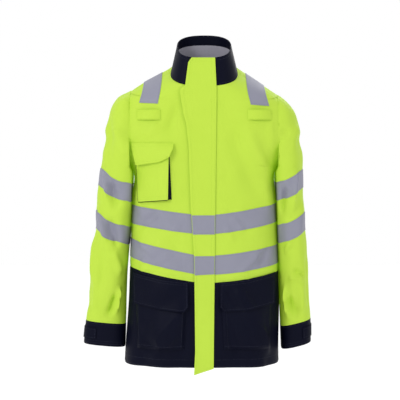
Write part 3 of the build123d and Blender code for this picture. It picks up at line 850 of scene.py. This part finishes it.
CUFF_TOP = 107.0
CUFF_FOOT = 44.0
for side in ("right", "left"):
    points = sleeve_tube(side, sleeve_heights(CUFF_TOP, 124), 0.0, 96)
    tube = cloth("sleeve_cloth_" + side, points, HI_VIS, outward=around_sleeve(side))
    hang(tube, sleeve_bend(side), "sleeve_" + side)
    sew("sleeve_" + side, points, [("bottom", 4.0)], around_sleeve(side))
    inner = sleeve_tube(side, sleeve_heights(CUFF_FOOT + 8, 100), -3.4, 72)
    liner = cloth("sleeve_lining_cloth_" + side, inner, TAFFETA, 0.5, outward=around_sleeve(side))
    hang(liner, sleeve_bend(side), "sleeve_lining_" + side)
    rows = [(CUFF_TOP + 0.6, -0.5), (CUFF_TOP - 1.5, 0.5), (100, 0.4), (88, 0.5), (76, 0.5), (64, 0.4),
            (54, 0.4), (47, 0.5), (CUFF_FOOT + 0.8, 0.1), (CUFF_FOOT, -0.9), (CUFF_FOOT + 0.8, -2.0),
            (52, -2.4), (66, -2.4)]
    heights = np.array([row[0] for row in rows])[:, None]
    lifts = np.array([row[1] for row in rows])[:, None]
    band = sleeve(side, heights, turn_spread(96, math.pi + 0 * heights), lifts)
    cuff = cloth("cuff_cloth_" + side, band, NAVY, 0.7, outward=around_sleeve(side))
    hang(cuff, "sleeve_" + side, "cuff_" + side)
    sew("cuff_" + side, band[:9], [("bottom", 5.0), ("top", 6.0), ("top", 12.0)], around_sleeve(side))

# %% [markdown]
# ## Linings
# The coat's inside is a smooth taffeta lining, seen at the hem and through the open front. The stand
# collar has a navy facing along its top and a brushed knit below it, where the collar meets the neck.


# %% Body lining
share = np.linspace(0, 1, 180)[None, :]
heights = np.concatenate([np.linspace(14, 560, 70), np.linspace(566, NECK_HEIGHT, 40)])[:, None]
start = turn_at(9.0, heights)
first = spread(start, math.pi / 2 + 0 * heights, np.minimum(share * 2, 1))
second = spread(math.pi / 2 + 0 * heights, start, np.maximum(share * 2 - 1, 0))
turn = np.where(share < 0.5, first, math.pi - second)
points = body(heights, turn, -3.4)
points[..., 0] = np.clip(points[..., 0], -ARMHOLE, ARMHOLE)
lining = cloth("body_lining_cloth", points, TAFFETA, 0.5, outward=from_middle)
hang(lining, "coat_body", "body_lining")

# %% [markdown]
# ## Collar
# The stand collar is one band folded over at its top edge: the navy outer cloth goes up, rolls over
# and comes down inside as the facing. It is drawn as one path of heights and lifts, swept round the neck.


# %% Collar shell, facing and knit
def collar(height, turn, lift):
    points = section_point(COLLAR, height, turn, lift)
    wave = ripple(points[..., 0], points[..., 1] + points[..., 2], 51, 90, 0.7)
    return section_point(COLLAR, height, turn, lift + wave)


def collar_band(path, front_edge, columns=150):
    heights = np.array([row[0] for row in path], float)[:, None]
    lifts = np.array([row[1] for row in path], float)[:, None]
    share = np.linspace(0, 1, columns)[None, :]
    half = read_table(COLLAR, heights)[0]
    start = -np.arccos(np.clip(front_edge / half, 0, 1) ** (SQUARENESS / 2))
    first = spread(start, math.pi / 2 + 0 * start, np.minimum(share * 2, 1))
    second = spread(math.pi / 2 + 0 * start, start, np.maximum(share * 2 - 1, 0))
    turn = np.where(share < 0.5, first, math.pi - second)
    return collar(heights, turn, lifts)


up = [(h, 0.0) for h in np.linspace(NECK_HEIGHT, COLLAR_HEIGHT - 2, 16)]
points = collar_band(up + [(850.2, -0.5), (851, -1.3)], 6.0)
shell = cloth("collar_cloth", points, NAVY, 0.8, outward=from_middle)
hang(shell, "coat_body", "collar_shell")
sew("skirt", points[:16], [("top", 5.0), ("bottom", 4.0), ("start", 4.0), ("end", 4.0)], from_middle)
down = [(851, -1.5), (850.2, -2.7)] + [(h, -3.2) for h in np.linspace(848, COLLAR_HEIGHT - 27, 7)]
points = collar_band(down, 9.0)
facing = cloth("collar_facing_cloth", points, NAVY, 0.6, outward=lambda c: -from_middle(c))
hang(facing, "coat_body", "collar_facing")
inside = [(h, -3.4) for h in np.linspace(COLLAR_HEIGHT - 27.3, NECK_HEIGHT, 10)]
points = collar_band(inside, 9.0)
knit = cloth("collar_knit", points, KNIT, 0.8, outward=lambda c: -from_middle(c))
hang(knit, "coat_body", "collar_lining")

# %% [markdown]
# ## Reflective tapes
# Bead tape is 50 mm wide and sewn flat on the shell, so it is the same form at a lift of half a
# millimetre. Two bands go round the body and each sleeve, and one goes over each shoulder.

# %% Tapes on the body and sleeves
TAPE = 50.0
TAPE_LIFT = 1.0
TAPE_THICK = 0.5
TAPE_RISE = {"lower": (42.0, 25.0), "upper": (25.0, 29.0)}
for level, centre in (("lower", 268.0), ("upper", 375.0)):
    for part in ("right", "left", "back"):
        columns = 110 if part == "back" else 64
        points = body_strip(part, centre - TAPE / 2, centre + TAPE / 2, TAPE_RISE[level], TAPE_LIFT,
                            columns, 12)
        tape = cloth("band_" + level + "_" + part, points, BEADS, TAPE_THICK, outward=from_middle)
        hang(tape, "coat_body", "body_tape_" + level + "_" + part)
        sew("tape", points, [("bottom", 3.0), ("top", 3.0)], from_middle)


def hoop(side, centre, width, slope, lift, columns=96, rows=10, first=-math.pi, last=math.pi):
    """A band around a sleeve that sits higher on the outer side."""
    table = SLEEVES[side]
    turn = np.linspace(first, last, columns)[None, :]
    across = np.linspace(-width / 2, width / 2, rows)[:, None]
    height = centre + across + 0 * turn
    x = np.interp(centre, table[:, 0], table[:, 1])
    for step in range(8):
        point = sleeve(side, height, turn, lift)
        target = centre + across + math.tan(math.radians(slope)) * (np.abs(point[..., 0]) - x)
        target = target - sleeve_slip(side, height, turn)
        height = height + (target - point[..., 2])
    return sleeve(side, height, turn, lift)


for side in ("right", "left"):
    for level, centre in (("upper", 474.0), ("lower", 361.0)):
        points = hoop(side, centre, TAPE, 24.0, TAPE_LIFT)
        ring = cloth("sleeve_band_" + level + "_" + side, points, BEADS, TAPE_THICK,
                     outward=around_sleeve(side))
        hang(ring, sleeve_bend(side), "sleeve_tape_" + level + "_" + side)
        sew("sleeve_tape_" + side, points, [("bottom", 3.0), ("top", 3.0)], around_sleeve(side))


# %% Tapes over the shoulders
def over_shoulder(side, middle, width, lift, front_foot, back_foot, lean=9.0):
    across = np.linspace(-width / 2, width / 2, 14)[None, :]
    t = np.linspace(-1, 1, 44)[:, None]
    x = middle + across + lean * (t * t - 0.4)
    low, high = np.full(x.shape, 690.0), np.full(x.shape, 790.0)
    for step in range(40):
        ridge = (low + high) / 2
        wide = read_table(BODY, ridge)[0] > x
        low, high = np.where(wide, ridge, low), np.where(wide, high, ridge)
    foot = np.where(t < 0, front_foot, back_foot)
    height = low - (low - foot) * t * t
    half = read_table(BODY, height)[0]
    turn = np.sign(t) * np.arccos(np.clip(x / half, 0, 1) ** (SQUARENESS / 2))
    turn = turn if side == "left" else math.pi - turn
    return body(height, turn, lift)


for side in ("right", "left"):
    points = over_shoulder(side, 141.0, TAPE, TAPE_LIFT, 703.0, 700.0)
    tape = cloth("shoulder_band_" + side, points, BEADS, TAPE_THICK, outward=(0, 0, 1))
    hang(tape, "coat_body", "shoulder_tape_" + side)
    sew("tape", points, [(edge, 3.0) for edge in ALL_EDGES], lambda centres: centres - (0, 0, 600))

# %% [markdown]
# ## Pieces drawn on the front
# Pockets and flaps are cut flat on paper and then sewn to the curved front. Each is drawn as two matching
# lines, a lower and an upper, and the cloth between them is laid on the form at the lift it needs.


# %% Lay a flat piece on the front
def on_front(x, z, lift):
    x, z, lift = np.broadcast_arrays(np.asarray(x, float), np.asarray(z, float), np.asarray(lift, float))
    height, wanted = z.copy(), x.copy()
    for step in range(14):
        turn = turn_at(wanted, height, lift)
        turn = np.where(x < 0, math.pi - turn, turn)
        found = body(height, turn, lift)
        height = height + (z - found[..., 2])
        wanted = wanted + (x - found[..., 0]) * 0.8
    return found


def resample(line, count):
    line = np.array(line, float)
    steps = np.hypot(*np.diff(line, axis=0).T)
    run = np.concatenate([[0], np.cumsum(steps)])
    at = np.linspace(0, run[-1], count)
    return np.stack([np.interp(at, run, line[:, 0]), np.interp(at, run, line[:, 1])], -1)


def between(lower, upper, columns, rows):
    a, b = resample(lower, columns), resample(upper, columns)
    up = np.linspace(0, 1, rows)[:, None, None]
    return a[None] + (b - a)[None] * up


def mirrored(line):
    return [(-x, z) for x, z in line]


# %% [markdown]
# ## Chest pocket
# The chest pocket is a yellow bag with a navy folded gusset, open towards the closing, under a
# shaped flap. The flap is sewn along its top edge only, so it bends there and falls over the bag.

# %% Chest pocket pieces
def pocket_bag(lower, upper, depth_left, depth_right, name, material, node_name, edge=7.0):
    grid = between(lower, upper, 48, 60)
    u = np.linspace(0, 1, 48)[None, :]
    v = np.linspace(0, 1, 60)[:, None]
    depth = depth_left + (depth_right - depth_left) * u
    depth = depth * (1 - 0.45 * v ** 2) + 1.2 * np.sin(u * math.pi) * np.sin(v * math.pi)
    points = on_front(grid[..., 0], grid[..., 1], depth)
    bag = cloth(name, points, material, 0.9)
    hang(bag, "coat_body", node_name)
    sew("shell", points, [("bottom", 5.0), ("bottom", 11.0), ("start", 4.0), ("end", 4.0)])
    return points


CHEST_LOW = [(-176, 434), (-95.5, 441)]
CHEST_HIGH = [(-183, 572), (-93, 572)]
front = pocket_bag(CHEST_LOW, CHEST_HIGH, 5.0, 12.0, "chest_pocket_cloth", HI_VIS,
                   "chest_pocket_front")


def gusset(outer_line, lift_in, spread_out, rows=9):
    """A strip folded once like a bellows, from the bag's edge to the coat, along a line on the front."""
    across = np.linspace(0, 1, rows)[:, None]
    line_x, line_z, depth, side_x, side_z = outer_line
    fold = np.sin(across * math.pi) * -3.0
    x = line_x + (side_x * spread_out) * across + side_x * fold
    z = line_z + (side_z * spread_out) * across + side_z * fold
    lift = depth + (lift_in - depth) * across
    return on_front(x, z, lift)


side_v = np.linspace(0, 1, 60)[None, :]
edge_x = -95.5 + 2.5 * side_v
edge_z = 441 + 131 * side_v
edge_depth = 12.0 * (1 - 0.45 * side_v ** 2) - 0.6
wedge = (1 - side_v) * 9.0 + 1.0
side_fold = gusset((edge_x, edge_z, edge_depth, 1.0, 0.0), 1.2, wedge)
piece = cloth("chest_gusset_side", side_fold, NAVY, 0.8)
hang(piece, "coat_body", "chest_pocket_bellows")
low_u = np.linspace(0, 1, 48)[None, :]
low_x = -176 + 80.5 * low_u
low_z = 434 + 7 * low_u
low_depth = 4.4 + 7.0 * low_u
low_fold = gusset((low_x, low_z, low_depth, 0.0, -1.0), 1.2, 2.2 + 0 * low_u)
piece = cloth("chest_gusset_low", low_fold, NAVY, 0.8)
hang(piece, "coat_body", None)
out_x = -176 - 7 * side_v
out_z = 434 + 138 * side_v
out_depth = 5.0 * (1 - 0.45 * side_v ** 2) - 0.6
out_fold = gusset((out_x, out_z, out_depth, -1.0, 0.0), 1.2, 1.2 + 0 * side_v)
piece = cloth("chest_gusset_out", out_fold, NAVY, 0.8)
hang(piece, "coat_body", None)

FLAP_BEND = 0.018


def flap(name, lower, upper, lift_low, lift_high, material, slot_name, node_name, body_name, ripples=0.6):
    grid = between(lower, upper, 56, 34)
    u = np.linspace(0, 1, 56)[None, :]
    v = np.linspace(0, 1, 34)[:, None]
    lift = lift_low + (lift_high - lift_low) * v ** 1.5
    lift = lift + ripples * np.sin(u * 9 + v * 2) * (1 - v) + 1.0 * np.exp(-((v - 0.06) / 0.05) ** 2)
    points = on_front(grid[..., 0], grid[..., 1], lift)
    piece = cloth(name, points, material, 1.3)
    top = to_frame(points[-1].mean(0))
    bottom = to_frame(points[0].mean(0))
    down = (bottom - top) / np.linalg.norm(bottom - top)
    bend = ("coat_body", body_name, Vector(top), Vector(top + down * FLAP_BEND))
    hang(piece, bend, node_name)
    sew(name, points, [("bottom", 5.0), ("start", 5.0), ("end", 5.0), ("top", 3.0), ("top", 9.0)])
    make_stitches(name, THREADS[slot_name], bend)
    return points


flap("chest_pocket_flap_cloth", [(-182, 531), (-118, 540), (-92, 553), (-83, 573)],
     [(-196, 590), (-140, 591), (-106, 591), (-80, 590)], 14.5, 2.0, HI_VIS, "hi_vis_shell",
     "chest_pocket_flap", "chest_pocket_flap")

# %% [markdown]
# ## Lower pockets
# The two large pockets on the navy skirt are the same cloth as the skirt, so they show only by
# their edges. Each bag stands a finger's width off the coat, and a long flap covers its mouth.

# %% Lower pocket pieces
LOWER_LOW = [(52, 46), (178, 46)]
LOWER_HIGH = [(44, 196), (184, 196)]
LOWER_FLAP_LOW = [(42, 160), (53, 147), (113, 152), (187, 166)]
LOWER_FLAP_HIGH = [(42, 224), (66, 226), (113, 231), (190, 246)]
for side in ("right", "left"):
    turned = (lambda line: mirrored(line)[::-1]) if side == "right" else (lambda line: line)
    u = np.linspace(0, 1, 64)[None, :]
    v = np.linspace(0, 1, 70)[:, None]
    rim = np.minimum(np.minimum(u, 1 - u) * 130, v * 150)
    grid = between(turned(LOWER_LOW), turned(LOWER_HIGH), 64, 70)
    depth = 1.0 + 8.0 * ease(rim, 0, 9) * (1 - 0.3 * v) + 1.0 * np.sin(u * math.pi) * (1 - v)
    points = on_front(grid[..., 0], grid[..., 1], depth)
    bag = cloth("lower_pocket_cloth_" + side, points, NAVY, 0.9)
    hang(bag, "coat_body", "lower_pocket_" + side)
    sew("skirt", points, [("bottom", 14.0), ("start", 13.0), ("end", 13.0)])
    flap("lower_pocket_flap_cloth_" + side, turned(LOWER_FLAP_LOW), turned(LOWER_FLAP_HIGH), 12.0, 2.2, NAVY,
         "navy_shell", "lower_pocket_flap_" + side, "lower_pocket_flap_" + side)

# %% [markdown]
# ## Storm flap
# The storm flap covers the zip from the collar to below the hem. It is sewn along the wearer's left and
# held by small touch-and-close patches, so its free edge stands a little off the coat and waves slightly.

# %% Storm flap
FLAP_LEFT = [(-26.5, -18), (-23.5, 44), (-26, 284), (-35.5, 428), (-41, 580), (-47.5, 642), (-54, 665),
             (-61, 704), (-64, 728), (-60, 736), (-50, 742), (-42, 803), (-33, 815.5)]
FLAP_RIGHT = [(25, -2), (25.5, 60), (28, 284), (29.4, 428), (31, 580), (32, 642), (32.3, 665), (32.6, 704),
              (33, 728), (32.8, 736), (32.5, 742), (29.4, 803), (29, 815.5)]


def flap_rows():
    rows = []
    for low, high in zip(range(len(FLAP_LEFT) - 1), range(1, len(FLAP_LEFT))):
        tall = FLAP_LEFT[high][1] - FLAP_LEFT[low][1]
        steps = max(3, round(tall / 6))
        rows += [low + step / steps for step in range(steps)]
    return np.array(rows + [len(FLAP_LEFT) - 1.0])


def flap_point(place, u, lift):
    """A point of the storm flap: place counts the marks up its edges, u goes from free edge to seam."""
    marks = np.arange(len(FLAP_LEFT))
    left = np.stack([np.interp(place, marks, [p[i] for p in FLAP_LEFT]) for i in (0, 1)], -1)
    right = np.stack([np.interp(place, marks, [p[i] for p in FLAP_RIGHT]) for i in (0, 1)], -1)
    both = left + (right - left) * u[..., None]
    x, z = both[..., 0], both[..., 1]
    free = (1 - u) ** 1.6
    wave = ripple(z, x * 0.2, 71, 190, 1.0)
    stand = 2.7 + lift + free * (1.9 + wave) + 0.7 * np.exp(-((u - 0.07) / 0.05) ** 2)
    stand = stand + (1 - ease(z, -11, 60)) * free * 2.5
    crease = along_line(x, z, (-18, 120, 20, 150, 7, 1.4)) + along_line(x, z, (-20, 300, 24, 280, 9, -0.8))
    y = FRONT_FOOT + FRONT_LEAN * z - stand - crease
    return np.stack(np.broadcast_arrays(x, y, z), -1)


places = flap_rows()[:, None]
u = np.linspace(0, 1, 26)[None, :]
storm = flap_point(places + 0 * u, u + 0 * places, 0.0)
piece = cloth("storm_flap_cloth", storm, HI_VIS, 1.3)
hinge = next(joint for joint in frame["joints"] if joint["name"] == "storm_flap_hinge")
hinge_point = Vector(hinge["pos_m"])
bend = ("coat_body", "storm_flap", hinge_point + Vector((0.001, 0, 0)), hinge_point + Vector((-0.014, 0, 0)))
hang(piece, bend, "storm_flap")
sew("storm_flap", storm, [("start", 6.0), ("end", 3.0), ("end", 10.0), ("top", 4.0), ("top", 10.0),
                          ("bottom", 5.0)])
for level, centre in (("lower", 268.0), ("upper", 375.0)):
    marks = np.interp(np.linspace(centre - TAPE / 2, centre + TAPE / 2, 12), [p[1] for p in FLAP_LEFT],
                      np.arange(len(FLAP_LEFT)))[:, None]
    across = np.linspace(0.015, 0.985, 22)[None, :]
    points = flap_point(marks + 0 * across, across + 0 * marks, TAPE_LIFT - 0.2)
    tape = cloth("storm_flap_band_" + level, points, BEADS, TAPE_THICK)
    hang(tape, bend, "storm_flap_tape_" + level)
    sew("storm_flap_tape", points, [("bottom", 3.0), ("top", 3.0)])

# %% [markdown]
# ## Radio loops and cuff tabs
# A short strip is sewn down at both ends on each side of the chest, for a radio's clip. Each cuff is
# tightened by a tab that wraps its outer side and closes on a patch of loop tape.

# %% Small straps
for side in ("right", "left"):
    sign = SIGN[side]
    u = np.linspace(0, 1, 30)[None, :]
    v = np.linspace(0, 1, 12)[:, None]
    x = sign * (115 + 64 * u)
    z = 652 + 26 * v + 0 * u
    lift = 1.6 + 6.0 * np.sin(u * math.pi) ** 0.8 + 0 * v
    points = on_front(x, z, lift)
    strap = cloth("radio_loop_cloth_" + side, points, HI_VIS, 1.2)
    hang(strap, "coat_body", "radio_loop_" + side)
    sew("shell", points, [("start", 3.0), ("end", 3.0), ("bottom", 3.0), ("top", 3.0)])
    middle = (CUFF_TOP + CUFF_FOOT) / 2
    reach = 1.28
    tab = hoop(side, middle, 30.0, CUFF_TILT[side], 2.6, 44, 10, -reach, reach)
    piece = cloth("cuff_tab_cloth_" + side, tab, NAVY, 1.2, outward=around_sleeve(side))
    hang(piece, "cuff_tab_" + side, "cuff_tab_" + side)
    sew("cuff_tab_" + side, tab, [(edge, 3.5) for edge in ALL_EDGES], around_sleeve(side))
    patch = hoop(side, middle, 24.0, CUFF_TILT[side], 1.3, 30, 8, -reach * 0.94, reach * 0.5)
    piece = cloth("cuff_loop_cloth_" + side, patch, HOOKS, 0.7, outward=around_sleeve(side))
    hang(piece, "sleeve_" + side, "cuff_loop_patch_" + side)

# %% Stitches of every body
for group, thread, body_name, slot_name in (
        ("shell", "hi_vis_shell", "coat_body", "hi_vis_shell"),
        ("skirt", "navy_shell", "coat_body", "navy_shell"),
        ("tape", "reflective_tape", "coat_body", "reflective_tape"),
        ("storm_flap", "hi_vis_shell", bend, "hi_vis_shell"),
        ("storm_flap_tape", "reflective_tape", bend, "reflective_tape")):
    make_stitches(group, THREADS[thread], body_name)
for side in ("right", "left"):
    make_stitches("sleeve_" + side, THREADS["hi_vis_shell"], sleeve_bend(side))
    make_stitches("sleeve_tape_" + side, THREADS["reflective_tape"], sleeve_bend(side))
    make_stitches("cuff_" + side, THREADS["navy_shell"], "sleeve_" + side)
    make_stitches("cuff_tab_" + side, THREADS["navy_shell"], "cuff_tab_" + side)

# %% [markdown]
# ## Parts that keep their frame shape
# The zip's tapes, box, slider and pull, the touch-and-close patches, the label and the hanging loop are
# already right in the frame, and the zip's teeth follow below.
# They only need their finish. A frame mesh has no cloth map, so these materials read object coordinates.


# %% Finishes for frame parts
# plated and polished zinc: bright metal that is a little blurred
ZINC = plain("plated_zinc_casting", "#B8B9BD", "#97989D", 0.32, 1.0)
# moulded acetal: smooth dark plastic with a small clear highlight
ACETAL = plain("moulded_acetal_navy", "#23253A", "#191B2B", 0.35)
# woven ribbon and touch-and-close tape: matt, with a raised grain
RIBBON = plain("woven_ribbon_navy", "#1C1E2F", "#10121E", 0.7, bump=0.6)
TOUCH = plain("touch_and_close_tape_navy", "#1D1F31", "#0D0F1C", 0.9, bump=1.0)
# a blank satin label: pale and slightly glossy
LABEL = plain("woven_satin_label_blank", "#DADADD", "#C6C6CC", 0.4)
FRAME_FINISH = {
    "zip_tape_right": RIBBON, "zip_tape_left": RIBBON,
    "zip_retainer_box": ACETAL, "zip_slider": ZINC, "zip_pull": ZINC, "closure_hook_patches": TOUCH,
    "closure_loop_patches": TOUCH, "size_label": LABEL, "hang_loop": RIBBON,
}
for name, finish in FRAME_FINISH.items():
    slots = frame["nodes"][name].data.materials
    slots.clear()
    slots.append(finish)

# %% [markdown]
# ## Zip teeth
# One moulded tooth is a small block with a narrower root that grips the tape. It is made once for each row,
# bevelled, and repeated up the tape. The left row sits half a step higher, so that the two rows can mesh.

# %% Zip teeth
TOOTH_PITCH = 3.2
TOOTH_SIZE = (2.3, 2.0, 1.35)
TOOTH_MIDDLE = 1.65
ROOT_LENGTH = 0.6
ROOT_INSET = 0.3
CHAIN_DEPTH = 2.1
CHAIN_FOOT = 32.0
CHAIN_TOP = 804.0
for side in ("right", "left"):
    foot = CHAIN_FOOT + (TOOTH_PITCH / 2 if side == "left" else 0.0)
    place = [SIGN[side] * TOOTH_MIDDLE, FRONT_FOOT + FRONT_LEAN * foot + CHAIN_DEPTH, foot]
    bpy.ops.object.select_all(action="DESELECT")
    bpy.ops.mesh.primitive_cube_add(size=1.0, location=to_frame(place))
    row = bpy.context.active_object
    row.name = "zip_teeth_" + side
    row.scale = [edge * MM for edge in TOOTH_SIZE]
    bpy.ops.object.transform_apply(location=True, rotation=True, scale=True)
    for face in row.data.polygons:
        face.select = face.normal.x * SIGN[side] > 0.9
    bpy.ops.object.mode_set(mode="EDIT")
    bpy.ops.mesh.select_mode(type="FACE")
    bpy.ops.mesh.inset(thickness=ROOT_INSET * MM)
    bpy.ops.mesh.extrude_region_move(
        TRANSFORM_OT_translate={"value": (SIGN[side] * ROOT_LENGTH * MM, 0.0, 0.0)})
    bpy.ops.object.mode_set(mode="OBJECT")
    bevel = row.modifiers.new("rounded", "BEVEL")
    bevel.width = 0.2 * MM
    bevel.segments = 2
    repeat = row.modifiers.new("row", "ARRAY")
    repeat.use_relative_offset = False
    repeat.use_constant_offset = True
    repeat.constant_offset_displace = (0.0, FRONT_LEAN * TOOTH_PITCH * MM, TOOTH_PITCH * MM)
    repeat.count = int((CHAIN_TOP - foot) / TOOTH_PITCH)
    for modifier in ("rounded", "row"):
        bpy.ops.object.modifier_apply(modifier=modifier)
    bpy.ops.object.shade_smooth_by_angle(angle=math.radians(40))
    row.data.materials.append(ACETAL)
    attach(row, "coat_body")
    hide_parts("zip_chain_" + side)
    print(row.name, "faces", len(row.data.polygons))

# %% [markdown]
# ## Light and camera
# The coat hangs in front of a bright white studio: a white surround, a large pale floor, and a big soft
# lamp over each side of the camera for a little shape. The camera is far away and long, at chest height.

# %% Studio
WORLD_STRENGTH = 0.78
FLOOR_GAP = 0.6
BACKDROP_DISTANCE = 9.0
world = bpy.data.worlds.new("studio")
bpy.context.scene.world = world
world.use_nodes = True
world.node_tree.nodes["Background"].inputs["Color"].default_value = (1, 1, 1, 1)
world.node_tree.nodes["Background"].inputs["Strength"].default_value = WORLD_STRENGTH

bpy.ops.mesh.primitive_plane_add(size=30.0, location=(0, 0, HEM - FLOOR_GAP))
floor = bpy.context.active_object
floor.name = "studio_floor"
floor_material, floor_shader = start_material("pale_painted_floor")
floor_shader.inputs["Base Color"].default_value = (0.9, 0.9, 0.9, 1)
floor_shader.inputs["Roughness"].default_value = 0.9
floor_shader.inputs["Emission Color"].default_value = (1, 1, 1, 1)
floor_shader.inputs["Emission Strength"].default_value = 0.22
floor.data.materials.append(floor_material)
bpy.ops.mesh.primitive_plane_add(size=60.0, location=(0, BACKDROP_DISTANCE, 0), rotation=(math.pi / 2, 0, 0))
backdrop = bpy.context.active_object
backdrop.name = "studio_backdrop"
backdrop_material, backdrop_shader = start_material("lit_white_paper_backdrop")
backdrop_shader.inputs["Base Color"].default_value = (0, 0, 0, 1)
backdrop_shader.inputs["Specular IOR Level"].default_value = 0.0
backdrop_shader.inputs["Emission Color"].default_value = (1, 1, 1, 1)
backdrop_shader.inputs["Emission Strength"].default_value = 1.0
backdrop.data.materials.append(backdrop_material)


def soft_lamp(name, place, target, size, power):
    data = bpy.data.lights.new(name, "AREA")
    data.shape = "SQUARE"
    data.size = size
    data.energy = power
    lamp = bpy.data.objects.new(name, data)
    lamp.location = place
    lamp.rotation_euler = (Vector(target) - Vector(place)).to_track_quat("-Z", "Y").to_euler()
    bpy.context.scene.collection.objects.link(lamp)
    return lamp


MIDDLE = (0.0, 0.0, -0.4)
soft_lamp("soft_box_left", (-1.8, -2.2, 1.0), MIDDLE, 0.9, 34)
soft_lamp("soft_box_right", (2.0, -2.0, 0.5), MIDDLE, 0.9, 7)
soft_lamp("soft_box_behind", (0.6, 2.6, 1.0), MIDDLE, 1.6, 20)
soft_lamp("soft_box_top", (0.0, -0.2, 1.7), MIDDLE, 1.2, 6)

SENSOR = 36.0
CAMERA_PLACE = (-0.0109, -3.56, -0.234)
CAMERA_DIP = 2.5
FRAME_SIDE = 400.0
FOCAL_SIDES = 1286.0
camera_data = bpy.data.cameras.new("camera")
camera_data.sensor_width = SENSOR
camera_data.lens = FOCAL_SIDES / FRAME_SIDE * SENSOR
camera_data.clip_end = 50.0
camera = bpy.data.objects.new("camera", camera_data)
camera.location = CAMERA_PLACE
camera.rotation_euler = (math.radians(90.0 - CAMERA_DIP), 0.0, 0.0)
bpy.context.scene.collection.objects.link(camera)
bpy.context.scene.camera = camera
bpy.context.scene.view_settings.view_transform = "Standard"
